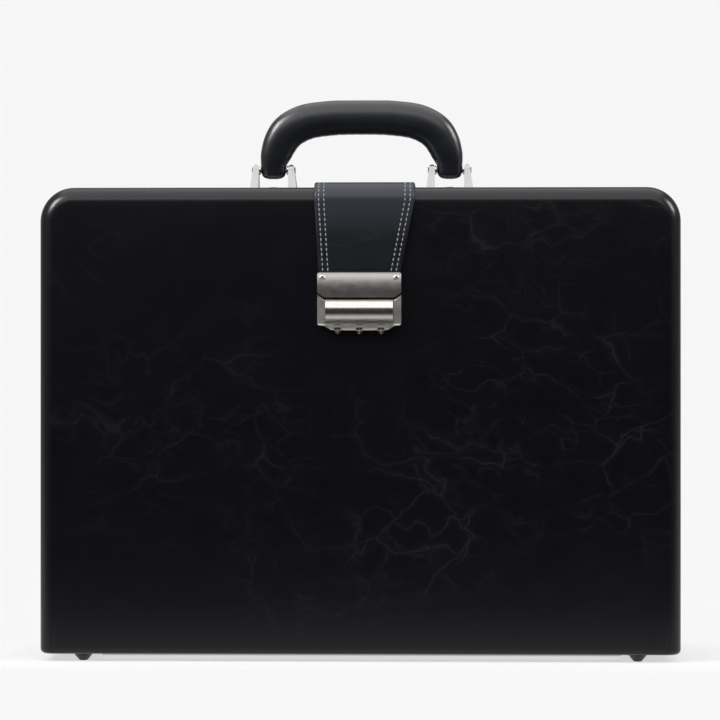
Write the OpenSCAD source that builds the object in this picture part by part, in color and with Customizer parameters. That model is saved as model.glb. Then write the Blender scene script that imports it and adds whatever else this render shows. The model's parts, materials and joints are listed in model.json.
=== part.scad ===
// Hard briefcase standing on its hinge side: two leather covered shells, a carrying handle
// on hinged posts, and a fastening strap that closes into a number lock on the front.
// Millimetres, +Z up, front towards -Y, feet on z = 0.

/* [Case] */
// overall width over the edge frame
case_w = 440; // [400:5:480]
// height of the shells without the feet
case_h = 320; // [290:5:350]
// depth of the front half
lid_d = 40; // [36:1:48]
// depth of the rear half
base_d = 70; // [60:1:90]
// radius of the two upper corners seen from the front
corner_r = 24; // [20:1:30]
// radius of the rolled panel edges
roll_r = 10; // [8.5:0.5:11]
// radius of the lower edges and of the two lower corners
low_r = 3.5; // [3:0.5:5]
// leather skin
cover_t = 1.2; // [0.8:0.1:1.6]
// fibre board of the shells
core_t = 4; // [3:0.5:5]
// inner lining
lining_t = 0.8; // [0.5:0.1:1.2]
// step of the cove along the inner panel edge
cove = 2; // [1.6:0.1:2.2]
// height of the studs under the case
foot_h = 5; // [4.5:0.5:7]
// distance of the studs from the middle
foot_x = 190; // [186:1:192]
// distance of the studs from the front and rear faces
foot_in = 13; // [12.5:0.5:16]

/* [Edge frame] */
// depth of each edge frame
frame_w = 3; // [2.6:0.1:4]
// how far the frames stand out of the leather
frame_proud = 0.8; // [0.4:0.1:1.2]
// thickness of the tongue between the halves
tongue_t = 1.6; // [1.2:0.1:2]
// reach of the tongue into the groove
tongue_h = 2; // [1.2:0.1:2.2]
// distance of the tongue from the outer edge
tongue_in = 2.4; // [2:0.1:3]

/* [Hinge] */
// length of the long hinge under the case
hinge_len = 360; // [300:5:360]
// number of knuckles, odd
knuckles = 15; // [9:2:21]
// outer radius of a knuckle
knuckle_r = 2; // [1.8:0.1:2.2]
// radius of the hinge wire
hinge_pin_r = 1; // [0.8:0.1:1.1]
// thickness of the leaves
leaf_t = 1; // [0.8:0.1:1.2]
// width of the leaves
leaf_w = 16; // [14:1:17]

/* [Handle] */
// distance of the leg middles from the middle of the case
leg_x = 61.5; // [60:0.5:66]
// height of the handle above its pivots
grip_rise = 48.8; // [46:0.2:54]
// half the width of a leg
leg_half = 8.8; // [8.2:0.1:9.2]
// depth of the grip from front to back
grip_d = 19.2; // [17:0.2:20]
// distance of the handle plane behind the joint of the halves
handle_back = 17; // [15:1:24]
// height of the pivots above the leather
pivot_up = 14.5; // [14:0.5:18]
// radius of the handle pins
handle_pin_r = 2; // [1.6:0.1:2.2]
// width of a bracket
bracket_w = 33; // [31:0.5:34]
// depth of a bracket
bracket_d = 18; // [17:0.5:20]
// distance of an ear from the leg middle
ear_in = 10.3; // [10.2:0.1:10.8]
// thickness of the bracket plate
bracket_t = 2; // [1.6:0.1:3]

/* [Strap] */
// thickness of the strap leather
strap_t = 2.4; // [2:0.1:2.8]
// width of the strap on top
strap_w = 68.6; // [66:0.2:74]
// width of the strap at the hasp
strap_end_w = 56; // [53:1:57]
// length of the strap on the rear face
strap_rear = 62; // [50:1:80]
// space between strap and case
strap_gap = 0.3; // [0.2:0.1:0.5]
// how far the strap sits beside the lock middle on top
strap_lean = 3.4; // [0:0.2:4]
// distance of the upper strap rivets below the case top
rivet_down = 24; // [20:1:30]
// distance of the lower strap rivets from the strap end
rivet_end = 8; // [6:1:12]
// distance of the strap rivets from the strap middle
rivet_side = 18; // [12:1:20]

/* [Lock] */
// height of the joint between hasp and lock above the shell bottom
lock_up = 243.5; // [225:0.5:246]
// how far the release bar stands out of the front
lock_proud = 11; // [10.4:0.2:12]
// width of hasp and lock
lock_w = 57; // [56:0.5:60]
// height of the hasp plate
hasp_h = 17; // [16:0.5:19]
// width of the release bar
bar_w = 46; // [42:1:47]
// height of the release bar
bar_h = 15.2; // [14.6:0.2:15.4]
// space between the hasp and the release bar
bar_drop = 1; // [0.8:0.1:1.4]
// travel of the release bar
bar_travel = 2; // [1.8:0.1:2.2]
// radius of the number wheels
dial_r = 3.6; // [3.4:0.1:3.8]
// width of a number wheel
dial_w = 4.6; // [4.2:0.1:5]
// spacing of the number wheels as a share of the lock width
dial_share = 0.26; // [0.22:0.01:0.265]
// width of the rings round the number windows
ring_w = 5.8; // [5.4:0.1:6.4]
// height of the rings round the number windows
ring_h = 3.2; // [3:0.1:3.6]
// width of the raised edge of a ring
ring_edge = 0.85; // [0.7:0.05:1]
// radius of the wheel axle
axle_r = 0.8; // [0.7:0.1:0.9]
// distance of the lock screws from the side of the lock
lock_screw_in = 2.4; // [2.2:0.1:2.8]
// width of the inner plate beyond the lock on each side
lock_plate_rim = 3; // [2:0.5:6]

/* [Pockets] */
// distance of the organiser from the side walls
org_side = 48; // [40:1:70]
// distance of the organiser from the bottom wall
org_low = 16; // [12:1:24]
// distance of the organiser below the lock
org_drop = 12; // [8:1:20]
// height of the file pocket as a share of the organiser
file_share = 0.76; // [0.6:0.02:0.8]
// thickness of the organiser leather
org_t = 1.2; // [0.8:0.1:1.6]
// width of a pen loop
loop_w = 8; // [6:1:10]
// distance of the pen loops from the side of the organiser
loop_in = 12; // [8:1:16]
// height of the card pockets as a share of the file pocket
card_share = 0.72; // [0.5:0.02:0.8]

/* [Stays and rivets] */
// distance of both stay pivots from the hinge wire
stay_r = 46; // [44:1:47]
// width of a stay
stay_w = 8; // [7:0.5:9]
// thickness of a stay
stay_t = 1.5; // [1.2:0.1:2]
// opening angle of the lid that the stays allow
open_angle = 95; // [85:1:95]
// radius of the rivet shanks
rivet_r = 1.3; // [1:0.1:1.5]
// height of the rivet heads on the strap
rivet_h = 0.6; // [0.5:0.1:0.9]

/* [Clearances] */
// running clearance on pins
pin_gap = 0.05; // [0.05:0.01:0.1]
// space between the closed halves
part_gap = 0.2; // [0.2:0.05:0.4]
// space round the tongue
tongue_gap = 0.3; // [0.2:0.05:0.4]
// side clearance of small moving pieces
side_gap = 0.2; // [0.15:0.05:0.25]

/* [Hidden] */
$fn = 48;
e = 1;
y_front = lock_proud - (lock_proud + lid_d + base_d + strap_t + rivet_h) / 2;
y_part = y_front + lid_d;
y_rear = y_part + base_d;
z_bot = foot_h;
z_top = foot_h + case_h;
cz_top = z_top - frame_proud;
cx = case_w / 2 - frame_proud;
wall = cover_t + core_t + lining_t;
ix = cx - wall;
iz0 = z_bot + wall;
iz1 = cz_top - wall;
ax_y = y_part;
ax_z = z_bot - knuckle_r - 0.15;
kn_l = hinge_len / knuckles;
hy = y_part + handle_back;
pz = cz_top + pivot_up;
sx_y = y_part + frame_w + 1;
sx_z = z_top + strap_gap + strap_t / 2;
st_in = strap_gap + roll_r;
st_zc = z_top + strap_gap - st_in;
hz = z_bot + lock_up;
bar_p0 = 5.4;
deck_p = 5.5;
sunk_p = 4.8;
lip_p = 6.7;
ring_p = 7.3;
lip_z = hz - bar_drop - bar_h - bar_travel - 0.3;
lip_h = 3.8;
wheel_room = 0.35;
dial_pitch = lock_w * dial_share;
dial_p = ring_p - 1 - wheel_room - dial_r;
dial_z = lip_z - 2.7;
bolt_p = -1;
bolt_t = 1.6;
d_dy = -(lid_d - wall - stay_w / 2 - 1.5);
d_dz = sqrt(stay_r * stay_r - d_dy * d_dy);
d_ang = atan2(-d_dy, d_dz);
b_ang = asin((frame_w + 3.4) / stay_r);
b_dy = stay_r * sin(b_ang);
b_dz = stay_r * cos(b_ang);
stay_ang = (d_ang - b_ang) / 2;
stay_s0 = 2 * stay_r * sin((d_ang + b_ang) / 2);
stay_s1 = 2 * stay_r * sin((d_ang + b_ang + open_angle) / 2);
stay_pin_r = 1.5;
stay_x0 = ix - 2.6 - stay_t;
hinge_rivet_xs = [for (i = [-3:3]) i * hinge_len / 7.5];
feet_xs = [-foot_x, foot_x];
dial_xs = [-dial_pitch, 0, dial_pitch];
spring_z = hz - 13 - bar_travel - 0.3;
axle_l = dial_pitch + dial_w / 2 + 1.6;
lock_screw_x = lock_w / 2 - lock_screw_in;
lock_screw_zs = [hz - 14.5, hz - 2.6];
box_w = lock_w / 2 - lock_screw_in - 2.9;
low_w = dial_pitch + dial_w / 2 + 0.8;
lock_low = lip_z - 3.1;

// name of the piece to draw, or all

// rod along X, Y or Z between two values
module rod_x(r, x0, x1, y, z) {
    translate([x0, y, z])
        rotate([0, 90, 0])
            cylinder(r = r, h = x1 - x0);
}

module rod_y(r, y0, y1, x, z) {
    translate([x, y1, z])
        rotate([90, 0, 0])
            cylinder(r = r, h = y1 - y0);
}

module rod_z(r, z0, z1, x, y) {
    translate([x, y, z0])
        cylinder(r = r, h = z1 - z0);
}

// box between two corners
module block(x0, x1, y0, y1, z0, z1) {
    translate([x0, y0, z0])
        cube([x1 - x0, y1 - y0, z1 - z0]);
}

// front view outline, given by x and z, made solid from y0 to y1
module slab(y0, y1) {
    translate([0, y1, 0])
        rotate([90, 0, 0])
            linear_extrude(height = y1 - y0)
                children();
}

// side view outline, given by y and z, made solid from x0 to x1
module side(x0, x1) {
    translate([x0, 0, 0])
        rotate([90, 0, 90])
            linear_extrude(height = x1 - x0)
                children();
}

// shell outline seen from the front: half width, bottom, top, upper and lower radius
module face2d(w, zb, zt, rt, rb) {
    translate([-w + rt, zb + rb])
        square([2 * (w - rt), zt - zb - rb]);
    translate([-w, zb + rb])
        square([2 * w, zt - zb - rb - rt]);
    translate([-w + rb, zb])
        square([2 * (w - rb), rb + e]);
    for (s = [-1, 1]) {
        translate([s * (w - rt), zt - rt])
            circle(r = rt);
        translate([s * (w - rb), zb + rb])
            circle(r = rb);
    }
}

// outline of the leather, moved inwards by i
module cover2d(i) {
    face2d(cx - i, z_bot + i, cz_top - i, corner_r - frame_proud - i, max(low_r - i, 0.5));
}

// outline of the edge frame, moved inwards by i
module frame2d(i) {
    face2d(case_w / 2 - i, z_bot + i, z_top - i, corner_r - i, max(low_r - i, 0.5));
}

// leather form of one half: the face at yf, the open end at ye
module pillow(yf, ye) {
    d = ye > yf ? 1 : -1;
    rt = corner_r - frame_proud;
    yc = yf + d * roll_r;
    hull() {
        for (s = [-1, 1]) {
            translate([s * (cx - rt), yc, cz_top - rt])
                rotate([90, 0, 0])
                    rotate_extrude($fn = 56)
                        translate([rt - roll_r, 0])
                            circle(r = roll_r, $fn = 28);
            translate([s * (cx - roll_r), yc, z_bot + low_r])
                rotate_extrude($fn = 40)
                    translate([roll_r - low_r, 0])
                        circle(r = low_r, $fn = 20);
            rod_y(rt, min(yc, ye), max(yc, ye), s * (cx - rt), cz_top - rt, $fn = 56);
            rod_y(low_r, min(yc, ye), max(yc, ye), s * (cx - low_r), z_bot + low_r, $fn = 20);
        }
    }
}

// value rounded to a twentieth of a millimetre
function twentieth(v) = round(v * 20) / 20;

// solid block of the fibre board: five steps follow the rolled edge
module core_block(yf, ye) {
    d = ye > yf ? 1 : -1;
    q = roll_r - cover_t;
    for (a = [4, 25, 45, 65, 86]) {
        y1 = yf + d * twentieth(roll_r - q * sin(a));
        slab(min(y1, ye), max(y1, ye))
            cover2d(twentieth(roll_r - q * cos(a)));
    }
}

// hollow of a half up to the given distance from the leather face, with a cove along the panel
module hollow(yf, ye, i) {
    d = ye > yf ? 1 : -1;
    y1 = yf + d * i;
    y2 = ye + d * e;
    slab(min(y1, y2), max(y1, y2))
        cover2d(i + cove);
    slab(min(y1 + d * cove, y2), max(y1 + d * cove, y2))
        cover2d(i);
}

// holes through the front half for hinge rivets, studs, stays and the lock
module lid_holes() {
    for (x = hinge_rivet_xs)
        rod_z(rivet_r + pin_gap, z_bot - e, iz0 + e, x, ax_y - leaf_w * 0.62);
    for (x = feet_xs)
        rod_z(1.5 + pin_gap, z_bot - e, iz0 + e, x, y_front + foot_in);
    for (s = [-1, 1]) {
        rod_x(stay_pin_r + pin_gap, s * ix - 1, s * ix + 1, ax_y + d_dy, ax_z + d_dz);
        for (z = lock_screw_zs)
            rod_y(1 + pin_gap, y_front - e, y_front + wall + e, s * lock_screw_x, z);
    }
}

// outline of the box behind the lock, moved inwards by i: wide above, narrow behind the wheels
module tray2d(i) {
    translate([i - box_w, lip_z + i])
        square([2 * (box_w - i), hz - lip_z - 2 * i]);
    translate([i - low_w, lock_low + i])
        square([2 * (low_w - i), lip_z - lock_low + 3]);
}

// room in which the number wheels turn
module wheels_room() {
    for (x = dial_xs)
        rod_x(dial_r + wheel_room, x - dial_w / 2 - side_gap, x + dial_w / 2 + side_gap,
            y_front - dial_p, dial_z);
}

// cut-out of the front panel for the lock
module lock_window() {
    slab(y_front - e, y_front + cover_t + core_t)
        tray2d(-0.2);
    block(-6.5, 6.5, y_front - e, y_front + cover_t + core_t, hz - 1, hz + 8.5);
    wheels_room();
}

// holes through the rear half for hinge rivets, studs, stays, brackets and strap
module base_holes() {
    for (x = hinge_rivet_xs)
        rod_z(rivet_r + pin_gap, z_bot - e, iz0 + e, x, ax_y + leaf_w * 0.62);
    for (x = feet_xs)
        rod_z(1.5 + pin_gap, z_bot - e, iz0 + e, x, y_rear - foot_in);
    for (s = [-1, 1]) {
        rod_x(stay_pin_r + pin_gap, s * ix - 1, s * ix + 1, ax_y + b_dy, ax_z + b_dz);
        for (t = [-1, 1])
            rod_z(rivet_r + pin_gap, iz1 - e, z_top + e, s * leg_x, hy + t * 5.6);
        for (z = [z_top - rivet_down, z_top - strap_rear + rivet_end])
            rod_y(rivet_r + pin_gap, y_rear - wall - e, y_rear + e, strap_lean + s * rivet_side, z);
    }
}

module base_core() {
    color([0.55, 0.44, 0.32])
        difference() {
            core_block(y_rear, y_part + frame_w);
            hollow(y_rear, y_part + frame_w, cover_t + core_t);
            base_holes();
        }
}

module base_cover() {
    color([0.07, 0.07, 0.08])
        difference() {
            pillow(y_rear, y_part + frame_w);
            core_block(y_rear, y_part + frame_w - e);
            base_holes();
        }
}

module base_lining() {
    color([0.28, 0.25, 0.22])
        difference() {
            hollow(y_rear, y_part + frame_w + e, cover_t + core_t);
            hollow(y_rear, y_part + frame_w, wall);
            base_holes();
        }
}

// ring of the edge frame between two y values
module frame_ring(y0, y1, i0, i1) {
    difference() {
        slab(y0, y1)
            frame2d(i0);
        slab(y0 - e, y1 + e)
            frame2d(i1);
    }
}

module base_frame() {
    color([0.09, 0.09, 0.1])
        union() {
            difference() {
                slab(y_part + part_gap / 2, y_part + frame_w)
                    frame2d(0);
                slab(y_part - e, y_part + frame_w + e)
                    cover2d(wall);
            }
            intersection() {
                frame_ring(y_part - tongue_h, y_part + 1, tongue_in, tongue_in + tongue_t);
                block(-case_w, case_w, y_part - 9, y_part + 9, z_bot + 18, z_top + 9);
            }
        }
}

module lid_core() {
    color([0.55, 0.44, 0.32])
        difference() {
            core_block(y_front, y_part - frame_w);
            hollow(y_front, y_part - frame_w, cover_t + core_t);
            lid_holes();
            lock_window();
        }
}

module lid_cover() {
    color([0.07, 0.07, 0.08])
        difference() {
            pillow(y_front, y_part - frame_w);
            core_block(y_front, y_part - frame_w + e);
            lid_holes();
            lock_window();
        }
}

module lid_lining() {
    color([0.28, 0.25, 0.22])
        difference() {
            hollow(y_front, y_part - frame_w - e, cover_t + core_t);
            hollow(y_front, y_part - frame_w, wall);
            lid_holes();
        }
}

module lid_frame() {
    color([0.09, 0.09, 0.1])
        difference() {
            slab(y_part - frame_w, y_part - part_gap / 2)
                frame2d(0);
            slab(y_part - frame_w - e, y_part + e)
                cover2d(wall);
            intersection() {
                frame_ring(y_part - tongue_h - tongue_gap, y_part + e,
                    tongue_in - tongue_gap, tongue_in + tongue_t + tongue_gap);
                block(-case_w, case_w, y_part - 9, y_part + 9, z_bot + 17, z_top + 9);
            }
        }
}

// one leaf of the hinge: s is +1 for the rear half, -1 for the front half
module leaf(s, first) {
    difference() {
        union() {
            block(-hinge_len / 2, hinge_len / 2, min(ax_y, ax_y + s * leaf_w),
                max(ax_y, ax_y + s * leaf_w), z_bot - leaf_t, z_bot);
            for (i = [first : 2 : knuckles - 1])
                rod_x(knuckle_r, kn_l * i - hinge_len / 2 + 0.15,
                    kn_l * (i + 1) - hinge_len / 2 - 0.15, ax_y, ax_z);
        }
        rod_x(hinge_pin_r + pin_gap, -hinge_len, hinge_len, ax_y, ax_z);
        for (i = [1 - first : 2 : knuckles - 1])
            block(kn_l * i - hinge_len / 2 - 0.15, kn_l * (i + 1) - hinge_len / 2 + 0.15,
                ax_y - knuckle_r - 0.3, ax_y + knuckle_r + 0.3, z_bot - leaf_t - 6, z_bot + e);
        for (x = hinge_rivet_xs)
            rod_z(rivet_r + pin_gap, z_bot - leaf_t - e, z_bot + e, x, ax_y + s * leaf_w * 0.62);
    }
}

module hinge_leaf_base() {
    color([0.7, 0.7, 0.72])
        leaf(1, 0);
}

module hinge_leaf_lid() {
    color([0.66, 0.66, 0.7])
        leaf(-1, 1);
}

module hinge_pin() {
    color([0.8, 0.8, 0.82])
        rod_x(hinge_pin_r, -hinge_len / 2 - 0.8, hinge_len / 2 + 0.8, ax_y, ax_z);
}

// rivets of one hinge leaf with a head on both sides
module hinge_rivets(s) {
    for (x = hinge_rivet_xs) {
        rod_z(2.3, z_bot - leaf_t - 0.7, z_bot - leaf_t, x, ax_y + s * leaf_w * 0.62);
        rod_z(rivet_r, z_bot - leaf_t - 0.2, iz0 + 0.3, x, ax_y + s * leaf_w * 0.62);
        rod_z(2.3, iz0, iz0 + 0.7, x, ax_y + s * leaf_w * 0.62);
    }
}

module hinge_rivets_base() {
    color([0.75, 0.75, 0.78])
        hinge_rivets(1);
}

module hinge_rivets_lid() {
    color([0.75, 0.75, 0.78])
        hinge_rivets(-1);
}

// rectangle with round corners, centred
module rounded(w, d, r) {
    square([w - 2 * r, d], center = true);
    square([w, d - 2 * r], center = true);
    for (a = [-1, 1])
        for (b = [-1, 1])
            translate([a * (w / 2 - r), b * (d / 2 - r)])
                circle(r = r);
}

// side view of an ear, from the leather up to the eye round the pivot
module ear_side() {
    polygon([
        [hy - bracket_d * 0.48, cz_top], [hy + bracket_d * 0.48, cz_top],
        [hy + 3.9, pz + 0.6], [hy - 3.9, pz + 0.6]
    ]);
    translate([hy, pz])
        circle(r = 4);
}

// front view of an ear of the bracket at x, on the side s
module ear_front(x, s) {
    polygon([
        [x + s * ear_in, cz_top], [x + s * bracket_w / 2, cz_top],
        [x + s * (ear_in + 4), pz + 2], [x + s * ear_in, pz + 2]
    ]);
    translate([x + s * (ear_in + 2), pz + 2])
        circle(r = 1.99);
}

module bracket(x) {
    difference() {
        union() {
            translate([x, hy, cz_top])
                linear_extrude(height = bracket_t)
                    rounded(bracket_w, bracket_d, 3);
            for (s = [-1, 1])
                intersection() {
                    side(x - bracket_w, x + bracket_w)
                        ear_side();
                    slab(hy - bracket_d, hy + bracket_d)
                        ear_front(x, s);
                }
        }
        rod_x(handle_pin_r, x - bracket_w, x + bracket_w, hy, pz);
        for (t = [-1, 1])
            rod_z(rivet_r + pin_gap, cz_top - e, cz_top + bracket_t + e, x, hy + t * 5.6);
    }
}

module bracket_left() {
    color([0.8, 0.8, 0.83])
        bracket(-leg_x);
}

module bracket_right() {
    color([0.8, 0.8, 0.83])
        bracket(leg_x);
}

module bracket_rivets() {
    color([0.75, 0.75, 0.78])
        for (s = [-1, 1])
            for (t = [-1, 1]) {
                rod_z(2.5, cz_top + bracket_t, cz_top + bracket_t + 0.5, s * leg_x, hy + t * 5.6);
                rod_z(rivet_r, iz1 - 1.2, cz_top + bracket_t + 0.4, s * leg_x, hy + t * 5.6);
                rod_z(2.5, iz1 - 2, iz1 - 1.2, s * leg_x, hy + t * 5.6);
            }
}

module bracket_backplates() {
    color([0.6, 0.6, 0.63])
        for (s = [-1, 1])
            difference() {
                translate([s * leg_x, hy, iz1 - 1.2])
                    linear_extrude(height = 1.2)
                        rounded(bracket_w, bracket_d + 2, 3);
                for (t = [-1, 1])
                    rod_z(rivet_r + pin_gap, iz1 - 3, iz1 + e, s * leg_x, hy + t * 5.6);
            }
}

// pin of one bracket, tight in both ears
module handle_pin(x) {
    w = ear_in + 4.9;
    rod_x(handle_pin_r, x - w, x + w, hy, pz);
}

module handle_pin_left() {
    color([0.3, 0.3, 0.33])
        handle_pin(-leg_x);
}

module handle_pin_right() {
    color([0.3, 0.3, 0.33])
        handle_pin(leg_x);
}

// half of the arch from the top to a leg end: outer x and z, inner x and z, half depth,
// drawn for legs at 62 with half width 9, a rise of 48.8 and a depth of 19.2
arch = [
    [0, 48.8, 0, 24.9, 9.6], [11, 48.75, 9, 24.85, 9.6], [22.3, 48.5, 18, 24.5, 9.5],
    [40, 46.3, 31, 23, 9.4], [53, 41.3, 38.2, 20.8, 9.2], [62.4, 33.9, 43.6, 17.3, 8.8],
    [68.3, 23.8, 47.2, 12.6, 8.2], [71, 13.4, 49.6, 8.4, 7.4], [71.3, 7, 51.7, 5.4, 6.7],
    [71, 3, 52.9, 3, 6.2], [70.9, -1, 53.1, -1, 5.6], [69.8, -4.2, 54.2, -4.2, 4.5],
    [67, -5.8, 57, -5.8, 2.6]
];
kz = grip_rise / 48.8;
kl = leg_half / 9;
kd = grip_d / 19.2;
// x values follow the leg middle and its width, z values the rise above the pivots
function fit_x(x) = x < 40 ? x * leg_x / 62 : leg_x + (x - 62) * kl;
function fit_z(z) = z * (z > 8 ? kz : kl);
function station(i) = let (a = arch[min(max(abs(i), 0), 12)], s = i < 0 ? -1 : 1)
    [s * fit_x(a[0]), fit_z(a[1]), s * fit_x(a[2]), fit_z(a[3]), a[4] * kd];
// smooth curve through four values
function curve(a, b, c, d, t) =
    b + 0.5 * t * (c - a + t * (2 * a - 5 * b + 4 * c - d + t * (3 * (b - c) + d - a)));
function clampi(i) = min(max(i, -12), 12);
function between(i, t) = let (
        a = station(clampi(i - 1)), b = station(i),
        c = station(clampi(i + 1)), d = station(clampi(i + 2)))
    [for (j = [0:4]) curve(a[j], b[j], c[j], d[j], t)];
grip_steps = 3;
grip_sides = 24;
grip_list = concat(
    [for (i = [-12:11]) for (t = [0:grip_steps - 1]) between(i, t / grip_steps)],
    [station(12)]
);
// points of one cross section: a soft oval between the outer and the inner line
function oval(s) = [for (j = [0:grip_sides - 1]) let (
        a = 360 * j / grip_sides,
        u = cos(a), v = sin(a),
        f = pow(pow(abs(u), 2.4) + pow(abs(v), 2.4), -1 / 2.4))
    [(s[0] + s[2]) / 2 + f * u * (s[0] - s[2]) / 2, s[4] * f * v,
        (s[1] + s[3]) / 2 + f * u * (s[1] - s[3]) / 2]];

module handle_grip() {
    n = len(grip_list);
    m = grip_sides;
    pts = [for (s = grip_list) for (q = oval(s)) [q[0], hy + q[1], pz + q[2]]];
    sides = [for (i = [0:n - 2]) for (j = [0:m - 1]) for (h = [0, 1])
        h == 0 ? [i * m + j, (i + 1) * m + j, (i + 1) * m + (j + 1) % m]
            : [i * m + j, (i + 1) * m + (j + 1) % m, i * m + (j + 1) % m]];
    ends = [[for (j = [0:m - 1]) j], [for (j = [0:m - 1]) n * m - 1 - j]];
    color([0.06, 0.06, 0.07])
        difference() {
            polyhedron(points = pts, faces = concat(sides, ends), convexity = 6);
            rod_x(handle_pin_r + pin_gap, -leg_x - 12, -leg_x + 12, hy, pz);
            rod_x(handle_pin_r + pin_gap, leg_x - 12, leg_x + 12, hy, pz);
        }
}

washer_in = leg_half + 0.4;
module handle_washers() {
    color([0.5, 0.5, 0.53])
        for (a = [-1, 1])
            for (b = [-1, 1])
                difference() {
                    rod_x(3.1, min(b * washer_in, b * (ear_in - 0.05)) + a * leg_x,
                        max(b * washer_in, b * (ear_in - 0.05)) + a * leg_x, hy, pz);
                    rod_x(handle_pin_r + pin_gap, a * leg_x - 20, a * leg_x + 20, hy, pz);
                }
}

// outline that narrows the strap from the case edge down to z_end, where its middle is at x_end
module strap_taper(z_end, x_end) {
    a = strap_w / 2;
    b = strap_end_w / 2;
    polygon([
        [strap_lean - a, z_top + 9], [strap_lean + a, z_top + 9], [strap_lean + a, st_zc],
        [x_end + b, z_end], [x_end - b, z_end], [strap_lean - a, st_zc]
    ]);
}

// side view of the bend over a case edge: yc is the middle of the bend, d the way outwards
module strap_bend(yc, d) {
    intersection() {
        difference() {
            translate([yc, st_zc])
                circle(r = st_in + strap_t);
            translate([yc, st_zc])
                circle(r = st_in);
        }
        translate([d > 0 ? yc : yc - 20, st_zc])
            square([20, 20]);
    }
}

module strap_back() {
    yc = y_rear - st_in;
    color([0.08, 0.09, 0.12])
        difference() {
            intersection() {
                side(-strap_w, strap_w) {
                    translate([sx_y + 0.3, st_zc + st_in])
                        square([yc - sx_y - 0.3, strap_t]);
                    strap_bend(yc, 1);
                    translate([y_rear, z_top - strap_rear])
                        square([strap_t, st_zc - z_top + strap_rear]);
                }
                slab(y_part, y_rear + 9)
                    strap_taper(z_top - strap_rear, strap_lean);
            }
            for (s = [-1, 1])
                for (z = [z_top - rivet_down, z_top - strap_rear + rivet_end])
                    rod_y(rivet_r + pin_gap, y_rear - e, y_rear + 9, strap_lean + s * rivet_side, z);
        }
}

module strap_flap() {
    yc = y_front - strap_gap + st_in;
    yi = y_front - strap_gap;
    zl = hz + 8.5;
    color([0.08, 0.09, 0.12])
        difference() {
            intersection() {
                side(-strap_w, strap_w) {
                    translate([yc, st_zc + st_in])
                        square([sx_y - 0.3 - yc, strap_t]);
                    strap_bend(yc, -1);
                    translate([yi - strap_t, zl])
                        square([strap_t, st_zc - zl]);
                }
                slab(y_front - 9, sx_y)
                    strap_taper(hz + hasp_h, 0);
            }
            block(-strap_w, strap_w, yi - 0.9, yi + e, zl - e, hz + hasp_h - 0.4);
            for (s = [-1, 1])
                rod_y(1.1 + pin_gap, y_front - 9, y_front, s * (lock_w / 2 - 3.3), hz + hasp_h - 3.8);
        }
}

module strap_rivets() {
    color([0.75, 0.75, 0.78])
        for (s = [-1, 1])
            for (z = [z_top - rivet_down, z_top - strap_rear + rivet_end]) {
                x = strap_lean + s * rivet_side;
                rod_y(3, y_rear + strap_t, y_rear + strap_t + rivet_h, x, z);
                rod_y(rivet_r, y_rear - wall - 0.3, y_rear + strap_t + 0.2, x, z);
                rod_y(3, y_rear - wall - 0.7, y_rear - wall, x, z);
            }
}

// outer outline of the hasp plate with chamfered lower corners
module hasp_face() {
    w = lock_w / 2;
    polygon([
        [-w, hz + wing_h], [-w + wing_w, hz], [w - wing_w, hz], [w, hz + wing_h],
        [w, hz + hasp_h - 0.8], [w - 0.8, hz + hasp_h], [-w + 0.8, hz + hasp_h],
        [-w, hz + hasp_h - 0.8]
    ]);
}

hasp_p0 = strap_gap + strap_t;
hasp_t = 4.3;
crown_r = 24;
crown_z = hz + hasp_h * 0.45;
rim = 1.1;
rim_p = hasp_p0 + hasp_t - crown_r
    + sqrt(crown_r * crown_r - (hz + hasp_h - rim - crown_z) * (hz + hasp_h - rim - crown_z));
module hasp_plate() {
    color([0.82, 0.82, 0.85])
        difference() {
            intersection() {
                slab(y_front - hasp_p0 - hasp_t, y_front - hasp_p0)
                    hasp_face();
                rod_x(crown_r, -lock_w, lock_w, y_front - hasp_p0 - hasp_t + crown_r, crown_z);
                side(-lock_w, lock_w)
                    polygon([
                        [y_front, hz - e], [y_front - 9, hz - e], [y_front - 9, hz + hasp_h - rim],
                        [y_front - rim_p, hz + hasp_h - rim], [y_front - rim_p + rim, hz + hasp_h],
                        [y_front, hz + hasp_h]
                    ]);
            }
            for (s = [-1, 1]) {
                rod_y(1.1 + pin_gap, y_front - 20, y_front, s * (lock_w / 2 - 3.3), hz + hasp_h - 3.8);
                rod_y(2.1 + pin_gap, y_front - 20, y_front - hasp_p0 - 2.2, s * (lock_w / 2 - 3.3),
                    hz + hasp_h - 3.8);
            }
        }
}

module hasp_backplate() {
    color([0.6, 0.6, 0.63])
        difference() {
            block(-lock_w / 2 + 1, lock_w / 2 - 1, y_front - strap_gap - 0.9, y_front - strap_gap,
                hz + 8.6, hz + hasp_h - 0.5);
            for (s = [-1, 1])
                rod_y(1.1 + pin_gap, y_front - 9, y_front, s * (lock_w / 2 - 3.3), hz + hasp_h - 3.8);
        }
}

module hasp_screws() {
    color([0.85, 0.85, 0.87])
        for (s = [-1, 1]) {
            x = s * (lock_w / 2 - 3.3);
            z = hz + hasp_h - 3.8;
            yh = y_front - hasp_p0 - 4.1;
            difference() {
                union() {
                    translate([x, yh + 0.4, z])
                        rotate([90, 0, 0])
                            cylinder(r1 = 2.1, r2 = 1.5, h = 0.4);
                    rod_y(2.1, yh + 0.4, y_front - hasp_p0 - 2.2, x, z);
                    rod_y(1.1, yh + 1, y_front - strap_gap, x, z);
                }
                block(x - 1.4, x + 1.4, yh - e, yh + 0.7, z - 0.28, z + 0.28);
                block(x - 0.28, x + 0.28, yh - e, yh + 0.7, z - 1.4, z + 1.4);
            }
        }
}

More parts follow.
